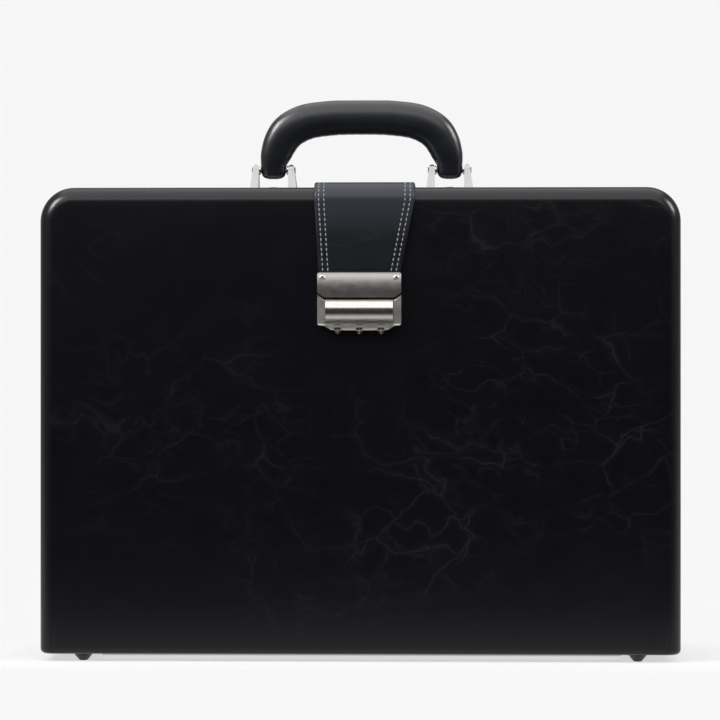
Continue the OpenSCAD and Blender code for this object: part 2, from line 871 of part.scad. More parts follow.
// hook behind the hasp: reaches through the panel, its notch is open downwards
module hasp_catch() {
    yb = y_front - hasp_p0;
    color([0.7, 0.7, 0.73])
        union() {
            block(-12, 12, yb, yb + 0.8, hz + 1, hz + 8);
            block(-5, 5, yb + 0.4, y_front - bolt_p + bolt_t + 1.9, hz + 2.6, hz + 5.4);
            block(-5, 5, y_front - bolt_p + bolt_t + 0.35, y_front - bolt_p + bolt_t + 1.9,
                hz + 0.35, hz + 3);
        }
}

// front outline of the lock: wings beside the hasp, a lip that hangs lower in the middle
wing_w = 4.4;
wing_h = 3.4;
module lock_face() {
    w = lock_w / 2;
    polygon([
        [-w, hz + 2.2], [wing_w - w, hz + 2.2 - wing_h - 0.2], [w - wing_w, hz + 2.2 - wing_h - 0.2],
        [w, hz + 2.2], [w, lip_z + 0.7], [w - 0.8, lip_z - 0.3], [w - 4.5, lip_z - 0.8],
        [dial_pitch + 4.5, lip_z - lip_h + 0.3], [8, lip_z - lip_h], [-8, lip_z - lip_h],
        [-dial_pitch - 4.5, lip_z - lip_h + 0.3], [4.5 - w, lip_z - 0.8], [0.8 - w, lip_z - 0.3],
        [-w, lip_z + 0.7]
    ]);
}

// side outline of the lock: flat deck, then the raised lip
module lock_side() {
    polygon([
        [y_front, hz + 3], [y_front - deck_p, hz + 3], [y_front - deck_p, lip_z + 0.6],
        [y_front - lip_p + 0.3, lip_z], [y_front - lip_p, lip_z - 0.3],
        [y_front - lip_p, lip_z - lip_h + 1.2], [y_front - lip_p + 1, lip_z - lip_h],
        [y_front, lip_z - lip_h]
    ]);
}

module lock_housing() {
    w = lock_w / 2;
    color([0.8, 0.8, 0.83])
        difference() {
            union() {
                intersection() {
                    slab(y_front - 9, y_front)
                        lock_face();
                    side(-lock_w, lock_w)
                        lock_side();
                }
                for (x = dial_xs) {
                    slab(y_front - ring_p + 0.3, y_front - lip_p + 2)
                        translate([x, dial_z])
                            rounded(ring_w, ring_h, ring_h / 2 - 0.1);
                    slab(y_front - ring_p, y_front - lip_p)
                        translate([x, dial_z])
                            rounded(ring_w - 0.5, ring_h - 0.5, ring_h / 2 - 0.35);
                }
            }
            block(-bar_w / 2 - 0.6, bar_w / 2 + 0.6, y_front - 9, y_front - sunk_p, lip_z, hz + 9);
            block(1 - box_w, box_w - 1, y_front - 1.6, y_front + e, lip_z + 1, hz - 3);
            wheels_room();
            rod_x(axle_r, -axle_l, axle_l, y_front - dial_p, dial_z);
            for (x = dial_xs)
                slab(y_front - 9, y_front - dial_p)
                    translate([x, dial_z])
                        rounded(ring_w - 2 * ring_edge, ring_h - 2 * ring_edge, 0.6);
            block(-4.2, 4.2, y_front - 9, y_front + e, hz - 14.2, hz - 3.8);
            for (s = [-1, 1]) {
                for (z = lock_screw_zs)
                    rod_y(1, y_front - 4, y_front + e, s * lock_screw_x, z);
                translate([s * (w - wing_w / 2), y_front - deck_p, hz + 2.1 - wing_h / 2])
                    rotate([0, -s * atan2(wing_h + 0.2, wing_w), 0])
                        rotate([45, 0, 0])
                            cube([8, 1.2, 1.2], center = true);
            }
        }
}

// pressed tray sunk in the panel behind the lock, with a shelf for the springs
module lock_chassis() {
    yb = y_front + cover_t + core_t;
    color([0.55, 0.56, 0.58])
        difference() {
            union() {
                difference() {
                    slab(y_front, yb)
                        tray2d(0);
                    slab(y_front - e, yb - 0.8)
                        tray2d(0.8);
                    block(-6, 6, y_front - e, yb - 0.8, hz - 2, hz + e);
                }
                block(-10, 10, y_front + 0.8, yb, spring_z - 0.8, spring_z);
            }
            wheels_room();
        }
}

module lock_backplate() {
    y0 = y_front + wall;
    color([0.6, 0.6, 0.63])
        difference() {
            slab(y0, y0 + 0.8)
                translate([0, (lock_low + hz + hasp_h / 2) / 2])
                    rounded(lock_w + 2 * lock_plate_rim, hz + hasp_h / 2 - lock_low + 4, 3);
            for (s = [-1, 1])
                for (z = lock_screw_zs)
                    rod_y(1 + pin_gap, y0 - e, y0 + 3, s * lock_screw_x, z);
        }
}

module lock_screws() {
    color([0.75, 0.75, 0.78])
        for (s = [-1, 1])
            for (z = lock_screw_zs)
                difference() {
                    union() {
                        rod_y(1, y_front - 4, y_front + wall + 1, s * lock_screw_x, z);
                        rod_y(2, y_front + wall + 0.8, y_front + wall + 2, s * lock_screw_x, z);
                    }
                    block(s * lock_screw_x - 1.5, s * lock_screw_x + 1.5, y_front + wall + 1.5,
                        y_front + wall + 3, z - 0.3, z + 0.3);
                }
}

// barrel bar with a stem through the housing
module release_bar() {
    s = lock_proud - bar_p0;
    r = (bar_h * bar_h / 4 + s * s) / (2 * s);
    zc = hz - bar_drop - bar_h / 2;
    color([0.85, 0.84, 0.8])
        union() {
            intersection() {
                rod_x(r, -bar_w / 2, bar_w / 2, y_front - lock_proud + r, zc);
                block(-bar_w, bar_w, y_front - lock_proud - e, y_front - bar_p0, zc - 20, zc + 20);
            }
            block(-4, 4, y_front - bar_p0 - 1, y_front - bolt_p, hz - 12, hz - 4);
        }
}

// bolt plate behind the stem, its nose stands in the notch of the catch
module lock_bolt() {
    y0 = y_front - bolt_p;
    color([0.7, 0.7, 0.73])
        union() {
            block(-8, 8, y0, y0 + bolt_t, hz - 13, hz - 4.4);
            block(-4.5, 4.5, y0, y0 + bolt_t, hz - 5, hz + 2.2);
        }
}

// two bent leaf springs under the bolt
module release_springs() {
    z0 = spring_z;
    color([0.75, 0.76, 0.78])
        for (s = [-1, 1])
            slab(y_front - bolt_p + 0.2, y_front - bolt_p + 1.4)
                polygon([
                    [s * 5.5, z0], [s * 9, z0], [s * 9, z0 + 1.2], [s * 6.3, z0 + 1.9],
                    [s * 6.3, hz - 13], [s * 5.5, hz - 13]
                ]);
}

// number wheel with sloped shoulders and ten finger notches
module dial(x) {
    b = 0.9;
    difference() {
        union() {
            rod_x(dial_r, x - dial_w / 2 + b, x + dial_w / 2 - b, y_front - dial_p, dial_z);
            for (s = [-1, 1])
                translate([x + s * (dial_w / 2 - b), y_front - dial_p, dial_z])
                    rotate([0, s * 90, 0])
                        cylinder(r1 = dial_r, r2 = dial_r - b, h = b);
        }
        rod_x(axle_r + pin_gap, x - 9, x + 9, y_front - dial_p, dial_z);
        for (i = [0:9])
            rod_x(0.35, x - 9, x + 9, y_front - dial_p + (dial_r + 0.12) * cos(i * 36 + 18),
                dial_z + (dial_r + 0.12) * sin(i * 36 + 18));
    }
}

module dial_left() {
    color([0.86, 0.8, 0.62])
        dial(dial_xs[0]);
}

module dial_centre() {
    color([0.86, 0.8, 0.62])
        dial(dial_xs[1]);
}

module dial_right() {
    color([0.86, 0.8, 0.62])
        dial(dial_xs[2]);
}

module dial_axle() {
    color([0.7, 0.7, 0.73])
        rod_x(axle_r, -axle_l, axle_l, y_front - dial_p, dial_z);
}

// flat spring behind the wheels with a bent finger for each
module detent_spring() {
    yb = y_front + cover_t + core_t - 0.8;
    tip_y = y_front - dial_p + sqrt((dial_r + 0.2) * (dial_r + 0.2) - 1.8 * 1.8);
    color([0.7, 0.72, 0.75])
        union() {
            block(1 - low_w, low_w - 1, yb - 0.4, yb, lock_low + 1, spring_z - 1);
            for (x = dial_xs)
                side(x - 1, x + 1)
                    polygon([
                        [yb - 0.2, dial_z + 4.6], [tip_y, dial_z + 2.4], [tip_y, dial_z + 1.8],
                        [tip_y + 0.65, dial_z + 1.2], [tip_y + 0.95, dial_z + 1.5],
                        [tip_y + 0.6, dial_z + 2.1], [yb - 0.2, dial_z + 3.9]
                    ]);
        }
}

// stud with a clinched shank inside the shell
module foot(x, y) {
    translate([x, y, 0])
        rotate_extrude()
            polygon([
                [0, 0], [2.8, 0], [6.2, foot_h - 1], [6.2, foot_h], [1.5, foot_h],
                [1.5, iz0], [3, iz0], [3, iz0 + 0.6], [0, iz0 + 0.6]
            ]);
}

module feet_lid() {
    color([0.05, 0.05, 0.05])
        for (x = feet_xs)
            foot(x, y_front + foot_in);
}

module feet_base() {
    color([0.05, 0.05, 0.05])
        for (x = feet_xs)
            foot(x, y_rear - foot_in);
}

// slotted stay: turns on the lid, slides on a pin of the base
module stay(x0) {
    translate([x0, ax_y + d_dy, ax_z + d_dz])
        rotate([90, 0, 90])
            linear_extrude(height = stay_t)
                rotate(stay_ang)
                    difference() {
                        union() {
                            translate([0, -stay_w / 2])
                                square([stay_s1 + 1, stay_w]);
                            circle(r = stay_w / 2);
                            translate([stay_s1 + 1, 0])
                                circle(r = stay_w / 2);
                        }
                        circle(r = stay_pin_r + pin_gap);
                        translate([stay_s0 - 0.5, -stay_pin_r - 0.15])
                            square([stay_s1 - stay_s0 + 1, 2 * stay_pin_r + 0.3]);
                        for (s = [stay_s0 - 0.5, stay_s1 + 0.5])
                            translate([s, 0])
                                circle(r = stay_pin_r + 0.15);
                    }
}

module stay_left() {
    color([0.78, 0.78, 0.8])
        stay(-stay_x0 - stay_t);
}

module stay_right() {
    color([0.78, 0.78, 0.8])
        stay(stay_x0);
}

// pin through the lining with a collar behind the stay and a head in front of it
module stay_stud(s, y, z) {
    x1 = ix - 0.0;
    rod_x(stay_pin_r, min(s * (ix + 0.9), s * (stay_x0 - 1)), max(s * (ix + 0.9), s * (stay_x0 - 1)),
        y, z);
    rod_x(3.2, min(s * ix, s * (ix - 2.4)), max(s * ix, s * (ix - 2.4)), y, z);
    rod_x(3.2, min(s * (stay_x0 - 0.2), s * (stay_x0 - 1.2)),
        max(s * (stay_x0 - 0.2), s * (stay_x0 - 1.2)), y, z);
}

module stay_pivots_lid() {
    color([0.6, 0.6, 0.63])
        for (s = [-1, 1])
            stay_stud(s, ax_y + d_dy, ax_z + d_dz);
}

module stay_pins_base() {
    color([0.6, 0.6, 0.63])
        for (s = [-1, 1])
            stay_stud(s, ax_y + b_dy, ax_z + b_dz);
}

// leather organiser on the lining of the front half
org_y = y_front + wall;
org_x = ix - org_side;
org_z0 = iz0 + org_low;
org_z1 = lock_low - org_drop;
file_z1 = org_z0 + (org_z1 - org_z0) * file_share;
card_w = (org_x * 2 - 4 * loop_w * 2) / 3.4;
module organiser_panel() {
    color([0.2, 0.18, 0.16])
        slab(org_y, org_y + org_t)
            translate([0, (org_z0 + org_z1) / 2])
                rounded(2 * org_x, org_z1 - org_z0, 8);
}

module file_pocket() {
    color([0.24, 0.21, 0.19])
        slab(org_y + org_t, org_y + 2 * org_t)
            translate([0, (org_z0 + 4 + file_z1) / 2])
                rounded(2 * org_x - 10, file_z1 - org_z0 - 4, 6);
}

module card_pockets() {
    color([0.2, 0.18, 0.16])
        for (i = [0:2])
            slab(org_y + 2 * org_t, org_y + 2.6 * org_t)
                translate([-org_x + 14 + card_w / 2 + i * (card_w + 6), (org_z0 + 4 + file_z1) / 2])
                    rounded(card_w, (file_z1 - org_z0) * card_share, 3);
}

module pen_loops() {
    color([0.1, 0.1, 0.1])
        for (i = [0:3])
            block(org_x - loop_in - loop_w * (1 + i * 1.7), org_x - loop_in - loop_w * i * 1.7,
                org_y + org_t, org_y + 2.2 * org_t, file_z1 + 6, org_z1 - 8);
}

base_core();
base_cover();
base_lining();
base_frame();
lid_core();
lid_cover();
lid_lining();
lid_frame();
hinge_leaf_base();
hinge_leaf_lid();
hinge_pin();
hinge_rivets_base();
hinge_rivets_lid();
bracket_left();
bracket_right();
bracket_rivets();
bracket_backplates();
handle_pin_left();
handle_pin_right();
handle_grip();
handle_washers();
strap_back();
strap_flap();
strap_rivets();
hasp_plate();
hasp_backplate();
hasp_screws();
hasp_catch();
lock_housing();
lock_chassis();
lock_backplate();
lock_screws();
release_bar();
lock_bolt();
release_springs();
dial_left();
dial_centre();
dial_right();
dial_axle();
detent_spring();
feet_lid();
feet_base();
stay_left();
stay_right();
stay_pivots_lid();
stay_pins_base();
organiser_panel();
file_pocket();
card_pockets();
pen_loops();
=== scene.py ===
"""Hard leather briefcase: skins, handle, strap, sewing, finishes and studio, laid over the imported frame."""
import json
import math
import bmesh
import bpy
import numpy as np
from bpy.props import FloatProperty, FloatVectorProperty, PointerProperty
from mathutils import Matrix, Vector


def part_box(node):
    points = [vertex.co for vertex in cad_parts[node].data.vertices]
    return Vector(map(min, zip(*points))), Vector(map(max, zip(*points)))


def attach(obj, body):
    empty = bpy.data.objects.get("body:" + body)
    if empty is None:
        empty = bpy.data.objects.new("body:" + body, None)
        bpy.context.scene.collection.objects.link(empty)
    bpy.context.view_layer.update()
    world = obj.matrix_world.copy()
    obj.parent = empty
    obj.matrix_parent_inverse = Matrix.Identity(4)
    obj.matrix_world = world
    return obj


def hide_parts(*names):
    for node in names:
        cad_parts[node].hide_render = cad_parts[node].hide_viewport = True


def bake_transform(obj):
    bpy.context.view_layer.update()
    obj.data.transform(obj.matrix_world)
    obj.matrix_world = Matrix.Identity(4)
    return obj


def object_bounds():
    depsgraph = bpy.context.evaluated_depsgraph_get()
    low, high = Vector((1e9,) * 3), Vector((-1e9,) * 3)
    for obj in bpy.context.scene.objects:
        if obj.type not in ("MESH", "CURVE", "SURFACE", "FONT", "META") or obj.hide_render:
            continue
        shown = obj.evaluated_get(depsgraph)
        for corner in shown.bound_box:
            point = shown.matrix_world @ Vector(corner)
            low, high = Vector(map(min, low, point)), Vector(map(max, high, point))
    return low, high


bl_info = {
    "name": "Leather Briefcase Dressing",
    "version": (1, 0, 0),
    "blender": (4, 5, 0),
    "location": "View3D > Sidebar > Briefcase",
    "description": "Dresses the briefcase frame with leather, threads, metal and lining, and lights it",
    "category": "Object",
}

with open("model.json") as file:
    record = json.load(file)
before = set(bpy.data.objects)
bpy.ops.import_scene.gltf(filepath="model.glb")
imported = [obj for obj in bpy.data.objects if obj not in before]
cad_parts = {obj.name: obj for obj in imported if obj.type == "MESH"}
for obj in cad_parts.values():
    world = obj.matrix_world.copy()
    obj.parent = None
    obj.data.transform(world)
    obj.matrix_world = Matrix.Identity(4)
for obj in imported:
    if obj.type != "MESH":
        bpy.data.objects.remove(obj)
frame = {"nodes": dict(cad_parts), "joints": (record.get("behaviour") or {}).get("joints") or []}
CAD_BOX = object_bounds()
NODES = frame["nodes"]
JOINTS = {j["name"]: j for j in frame["joints"]}

# Sizes of the frame in metres, taken from its own pieces
LID_LO, LID_HI = (np.array(v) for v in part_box("lid_cover"))
BASE_LO, BASE_HI = (np.array(v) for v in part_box("base_cover"))
FLAP_LO, FLAP_HI = (np.array(v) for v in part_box("strap_flap"))
BACK_LO, BACK_HI = (np.array(v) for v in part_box("strap_back"))
HASP_TOP = float(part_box("hasp_plate")[1][2])
Y_FRONT, Y_REAR = float(LID_LO[1]), float(BASE_HI[1])

# Strap in metres: thickness where it is free and under the hasp plate, half the width of its narrow ends
STRAP_THICK, STRAP_THIN, STRAP_END = 0.0024, 0.0015, 0.028


def metres(name, text, value):
    """Setting of a length."""
    return FloatProperty(name=name, description=text, default=value, unit="LENGTH")


def tint(name, text, value):
    """Setting of a linear colour."""
    return FloatVectorProperty(name=name, description=text, default=value, subtype="COLOR")


def level(name, text, value):
    """Setting of a plain number."""
    return FloatProperty(name=name, description=text, default=value)


class CaseSizes(bpy.types.PropertyGroup):
    """Sizes of the leather, thread and trim"""
    corner: metres("Corner radius", "Upper corner of the skin seen from the front", 0.0232)
    roll: metres("Roll radius", "Rolled edge of the panels", 0.010)
    low: metres("Lower radius", "Lower edges of the panels", 0.0035)
    leg: metres("Leg distance", "Leg middles from the middle of the case", 0.0615)
    leg_half: metres("Leg half width", "Half the width of a leg", 0.0088)
    digit: metres("Digit size", "Size of the wheel digits", 0.0021)
    gap: metres("Strap gap", "Space between strap and case", 0.0003)
    skin: metres("Skin", "Thickness of the leather skin", 0.0012)
    stitch: metres("Stitch pitch", "Distance from stitch to stitch", 0.0034)
    thread: metres("Thread radius", "Radius of the sewing thread", 0.00046)
    row_a: metres("Outer row", "Outer stitch row from the strap edge", 0.0031)
    row_b: metres("Inner row", "Inner stitch row from the strap edge", 0.0066)


class CaseColours(bpy.types.PropertyGroup):
    """Colours of the materials, linear"""
    hide: tint("Hide", "Leather of the shells", (0.0004, 0.0005, 0.0021))
    strap: tint("Strap", "Leather of the strap", (0.0012, 0.002, 0.0032))
    grip: tint("Grip", "Leather of the handle", (0.0026, 0.0034, 0.0066))
    thread: tint("Thread", "Sewing thread", (0.21, 0.23, 0.26))
    metal: tint("Bright metal", "Plated parts of the lock", (0.64, 0.622, 0.588))
    lining: tint("Lining", "Cloth inside the case", (0.045, 0.04, 0.037))


class StudioSettings(bpy.types.PropertyGroup):
    """Camera and lamps"""
    lens: level("Lens", "Focal length in millimetres", 160.0)
    distance: metres("Distance", "Camera to the front face", 2.18)
    side: metres("Side step", "Camera beside the middle", 0.06)
    aim: metres("Aim", "Point looked at, to the left of the middle", -0.0004)
    eye: metres("Eye height", "Camera height", 0.206)
    top: level("Top lamp", "Power of the softbox above", 16.5)
    front: level("Front lamp", "Power of the softbox before the case", 3.2)
    left: level("Left lamp", "Power of the softbox on the left", 19.2)
    right: level("Right lamp", "Power of the softbox on the right", 12.0)
    room: level("Room", "Strength of the dim room", 0.02)
    paper: level("Background", "Strength of the pale background", 0.93)


def mesh_of(name, verts, faces, uv=None, smooth=True):
    """Mesh object from arrays; points that fall together are merged, then the normals are turned outwards."""
    me = bpy.data.meshes.new(name)
    me.from_pydata(verts.tolist(), [], faces)
    me.polygons.foreach_set("use_smooth", np.full(len(me.polygons), smooth))
    if uv is not None:
        layer = me.uv_layers.new(name="UVMap")
        idx = np.zeros(len(me.loops), np.int32)
        me.loops.foreach_get("vertex_index", idx)
        layer.data.foreach_set("uv", uv[idx].astype(np.float32).ravel())
    bm = bmesh.new()
    bm.from_mesh(me)
    bmesh.ops.remove_doubles(bm, verts=bm.verts[:], dist=2e-6)
    bmesh.ops.dissolve_degenerate(bm, edges=bm.edges[:], dist=2e-6)
    bmesh.ops.recalc_face_normals(bm, faces=bm.faces[:])
    bm.to_mesh(me)
    bm.free()
    me.update()
    obj = bpy.data.objects.new(name, me)
    bpy.context.scene.collection.objects.link(obj)
    return obj


def bands(m, n):
    """Quads between m closed rings of n points each: point j of ring i has the number i n + j."""
    i, j = np.meshgrid(np.arange(m - 1), np.arange(n), indexing="ij")
    a, b = (i * n + j).ravel(), (i * n + (j + 1) % n).ravel()
    return np.stack([a, b, b + n, a + n], 1)


def loft(name, rings, uv=None):
    """Skin over rings[i, j] = point j of ring i; each ring is a closed loop, and a face shuts each end."""
    m, n = rings.shape[:2]
    faces = bands(m, n).tolist() + [list(range(n)), list(range((m - 1) * n, m * n))[::-1]]
    return mesh_of(name, rings.reshape(-1, 3), faces, None if uv is None else uv.reshape(-1, 2))


def outline(d, lo, hi, corner, roll, low, steps=14, run=12):
    """Closed front outline (x, z) of a rolled panel at depth d behind its face; each depth has the same
    number of points. Side and top inset s = R - sqrt(R^2 - (R - d)^2). The upper corner is an arc of radius
    corner - s. A lower corner is cut from a ring of tube r: for t = r (1 - cos p), z = z0 + r (1 - sin p),
    its x is half - R + sqrt((R - t)^2 - (R - d)^2), with p from 0 to where t reaches d or r."""
    half, z0, z1 = hi[0], lo[2], hi[2]
    q = max(roll - d, 0.0)
    s = roll - math.sqrt(roll * roll - q * q)
    p = np.linspace(0, math.acos(max(1 - d / low, 0.0)), steps)
    t = low * (1 - np.cos(p))
    lx = half - roll + np.sqrt(np.maximum((roll - t) ** 2 - q * q, 0))
    lz = z0 + low * (1 - np.sin(p))
    a = np.radians(np.linspace(0, 90, steps))
    r = corner - s
    ux, uz = half - corner + r * np.cos(a), z1 - corner + r * np.sin(a)
    arcs = [np.stack(v, 1) for v in ((lx[::-1], lz[::-1]), (ux, uz), (-ux[::-1], uz[::-1]), (-lx, lz))]
    k = np.linspace(0, 1, run + 2)[1:-1, None]
    pts = []
    for i in range(4):
        last, first = arcs[i][-1], arcs[(i + 1) % 4][0]
        pts += [arcs[i], last + (first - last) * k]
    return np.concatenate(pts)


def shell_rings(lo, hi, y_face, y_open, corner, roll, low, skin):
    """Rings of a leather skin, from the middle of the face outwards over the roll to the open edge and back
    inside at a distance of one skin: ring i lies at depth d = R (1 - cos a) behind the face. The upper edge
    of the face leans back by crown u u: u is 0 one reach under the roll, 1 where it starts, and grows on."""
    way = 1.0 if y_open > y_face else -1.0
    depth = abs(y_open - y_face)
    mid = (lo[2] + hi[2]) / 2
    crown, reach, bevel = 0.0003, 0.018, 0.0002

    def leaning(base):
        u = np.clip((base[:, 2] - (hi[2] - roll - reach)) / reach, 0, None)
        return base + np.stack([0 * u, way * crown * u * u, 0 * u], 1)

    def ring(d, inset=0.0):
        o = np.array([inset, 0, inset])
        q = outline(max(d - inset, 0), lo + o, hi - o, corner - inset, roll - inset, low - inset)
        return np.stack([q[:, 0], np.full(len(q), y_face + way * d), q[:, 1]], 1)

    def shrunk(base, f):
        return base * [f, 1, f] + [0, 0, mid * (1 - f)]

    face = ring(0.0)
    rings = [leaning(shrunk(face, f)) for f in (0.01, 0.3, 0.6, 0.8, 0.88, 0.91, 0.94, 0.96, 0.98, 0.99)]
    rings += [leaning(ring(roll * (1 - math.cos(a)))) for a in np.radians(np.linspace(0, 90, 16))]
    rings += [ring(roll + (depth - roll) * f) for f in (0.3, 0.6, 0.9)]
    rings += [ring(depth - bevel), ring(depth, bevel), ring(depth, skin), ring(roll, skin)]
    rings += [ring(skin + (roll - skin) * (1 - math.cos(a)), skin) for a in np.radians((60, 30, 0))]
    rings += [shrunk(rings[-1], f) for f in (0.6, 0.01)]
    return np.array(rings)


def stitch_rods(at, along, out, length, radius):
    """Stitches at the points at[i]: a rod of six sides whose radius grows from its ends to its middle, laid
    along along[i] with its upper side towards out[i]; all rods are one array of points."""
    prof = np.array([[-0.5, 0.35], [-0.37, 0.85], [0.0, 1.0], [0.37, 0.85], [0.5, 0.35]])
    ang = np.linspace(0, 2 * np.pi, 7)[:-1]
    wide = np.cross(along, out)
    ring = (at[:, None, None, :] + along[:, None, None, :] * (prof[:, 0] * length)[None, :, None, None]
            + radius * prof[:, 1][None, :, None, None]
            * (np.cos(ang)[None, None, :, None] * wide[:, None, None, :]
               + np.sin(ang)[None, None, :, None] * out[:, None, None, :]))
    m, r, q = ring.shape[:3]
    start = (np.arange(m) * r * q)[:, None, None]
    caps = np.stack([np.arange(q), (r - 1) * q + np.arange(q)])
    sides = (start + bands(r, q)[None]).reshape(-1, 4).tolist()
    return ring.reshape(-1, 3), sides + (start + caps[None]).reshape(-1, q).tolist()


def joined(parts):
    """One list of points and faces from several."""
    verts, faces, base = [], [], 0
    for v, f in parts:
        verts.append(v)
        faces += [[k + base for k in face] for face in f]
        base += len(v)
    return np.concatenate(verts), faces


class Tree:
    """Small helper round a node tree."""
    def __init__(self, tree):
        self.t = tree
        self.x = 0

    def new(self, kind, **props):
        n = self.t.nodes.new(kind)
        n.location = (self.x, 0)
        self.x += 180
        for k, v in props.items():
            setattr(n, k, v)
        return n

    def link(self, a, b):
        self.t.links.new(a, b)

    def put(self, value, socket):
        """Links an output to the socket, or sets the socket to a constant."""
        if isinstance(value, bpy.types.NodeSocket):
            self.link(value, socket)
        else:
            socket.default_value = value

    def fill(self, node, values):
        """Puts the values into the node's first sockets."""
        for value, socket in zip(values, node.inputs):
            self.put(value, socket)
        return node.outputs[0]

    def math(self, op, *values, clamp=False):
        return self.fill(self.new("ShaderNodeMath", operation=op, use_clamp=clamp), values)

    def vector(self, op, *values):
        return self.fill(self.new("ShaderNodeVectorMath", operation=op), values)

    def choose(self, fac, a, b):
        """Shader a where fac is 0, shader b where it is 1."""
        return self.fill(self.new("ShaderNodeMixShader"), (fac, a, b))

    def parts(self, vec):
        """Outputs X, Y and Z of a vector."""
        n = self.new("ShaderNodeSeparateXYZ")
        self.link(vec, n.inputs[0])
        return n.outputs

    def far(self, a, b):
        """Length of the flat vector (a, b)."""
        return self.math("SQRT", self.math("ADD", self.math("MULTIPLY", a, a), self.math("MULTIPLY", b, b)))

    def ramp(self, value, lo, hi, to_lo=0.0, to_hi=1.0):
        """Smooth step from to_lo at lo to to_hi at hi."""
        n = self.new("ShaderNodeMapRange", interpolation_type="SMOOTHSTEP")
        self.link(value, n.inputs["Value"])
        for key, v in (("From Min", lo), ("From Max", hi), ("To Min", to_lo), ("To Max", to_hi)):
            n.inputs[key].default_value = v
        return n.outputs["Result"]

    def noise(self, vec, scale, detail=2.0, rough=0.5, distort=0.0):
        n = self.new("ShaderNodeTexNoise")
        for key, v in (("Vector", vec), ("Scale", scale), ("Detail", detail), ("Roughness", rough),
                       ("Distortion", distort)):
            self.put(v, n.inputs[key])
        return n.outputs

    def cells(self, vec, scale, feature):
        """Distance of a pattern of cells."""
        n = self.new("ShaderNodeTexVoronoi", feature=feature)
        self.link(vec, n.inputs["Vector"])
        self.link(scale, n.inputs["Scale"])
        return n.outputs["Distance"]

    def mix_colour(self, fac, a, b):
        n = self.new("ShaderNodeMix", data_type="RGBA")
        for key, v in (("Factor", fac), ("A", a), ("B", b)):
            self.put(v, n.inputs[key])
        return n.outputs["Result"]

    def shown(self):
        """1 for the rays that make the picture: the camera's own and those that go on through a surface."""
        ray = self.new("ShaderNodeLightPath").outputs
        return self.math("MAXIMUM", ray["Is Camera Ray"], ray["Is Transmission Ray"])


def group(name, values, outs):
    """New shader node group with a vector and named numbers in and named numbers out; returns the group,
    its helper, its inner inputs and its inner outputs."""
    g = bpy.data.node_groups.new(name, "ShaderNodeTree")
    g.interface.new_socket(name="Vector", in_out="INPUT", socket_type="NodeSocketVector")
    for label in (*values, *outs):
        way = "INPUT" if label in values else "OUTPUT"
        socket = g.interface.new_socket(name=label, in_out=way, socket_type="NodeSocketFloat")
        socket.default_value = values.get(label, 0.0)
    t = Tree(g)
    return g, t, t.new("NodeGroupInput").outputs, t.new("NodeGroupOutput").inputs


# Warps of the creases: scale of the noise and size of the shift
WARPS = ((16.0, 0.045), (60.0, 0.013), (220.0, 0.003))
# Layers of creases: turn, scale, stretch, width of the core, width of the glow, strength
CREASES = ((0.45, 1.0, 1.7, 0.018, 0.085, 1.0), (-0.25, 1.7, 2.2, 0.026, 0.1, 0.8),
           (0.15, 3.4, 2.0, 0.04, 0.13, 0.5))


def hide_group():
    """Leather: pebbled grain, pores, and soft creases. A crease lies where the distance to the edge of
    warped, stretched cells is small: a thin pale core in a wide faint glow. Three sizes of cells are mixed,
    a noise of their own size breaks each, and a slow noise keeps them in patches."""
    g, t, gi, go = group("hide surface", {"Grain": 900.0, "Crease": 20.0, "Patches": 7.0},
                         ("Height", "Creases", "Tone", "Cloud"))
    vec = gi["Vector"]
    patch = t.noise(vec, gi["Patches"])["Fac"]
    warp = vec
    for scale, size in WARPS:
        off = t.vector("SUBTRACT", t.noise(vec, scale)["Color"], (0.5, 0.5, 0.5))
        warp = t.vector("MULTIPLY_ADD", off, (size,) * 3, warp)
    crease = None
    for turn, scale, long, core, glow, part in CREASES:
        m = t.new("ShaderNodeMapping", vector_type="TEXTURE")
        t.link(warp, m.inputs["Vector"])
        m.inputs["Rotation"].default_value = (0, turn, 0)
        m.inputs["Scale"].default_value = (long, 1.0, 1.0)
        m.inputs["Location"].default_value = (scale * 0.31, 0.02, scale * 0.1)
        d = t.cells(m.outputs[0], t.math("MULTIPLY", gi["Crease"], scale), "DISTANCE_TO_EDGE")
        broken = t.ramp(t.noise(m.outputs[0], 17.0 * scale, 3.0)["Fac"], 0.42, 0.62)
        line = t.math("ADD", t.ramp(d, 0.0, core, 0.7, 0.0), t.ramp(d, 0.0, glow, 0.3, 0.0))
        line = t.math("MULTIPLY", line, t.math("MULTIPLY", broken, part))
        crease = line if crease is None else t.math("MAXIMUM", crease, line)
    crease = t.math("MULTIPLY", crease, t.ramp(patch, 0.3, 0.55), clamp=True)
    pebbles, pores, dents, waves = 0.35, 0.15, -0.5, 1.2
    grain = t.cells(vec, gi["Grain"], "SMOOTH_F1")
    height = t.math("MULTIPLY", t.math("SUBTRACT", 1.0, grain), pebbles)
    height = t.math("MULTIPLY_ADD", t.noise(vec, 2600.0, 1.0)["Fac"], pores, height)
    height = t.math("MULTIPLY_ADD", crease, dents, height)
    height = t.math("MULTIPLY_ADD", t.noise(vec, 11.0)["Fac"], waves, height)
    t.link(height, go["Height"])
    t.link(crease, go["Creases"])
    t.link(t.noise(vec, 60.0, 3.0, 0.6)["Fac"], go["Tone"])
    t.link(t.noise(warp, 9.0, 4.0, 0.6, 0.5)["Fac"], go["Cloud"])
    return g


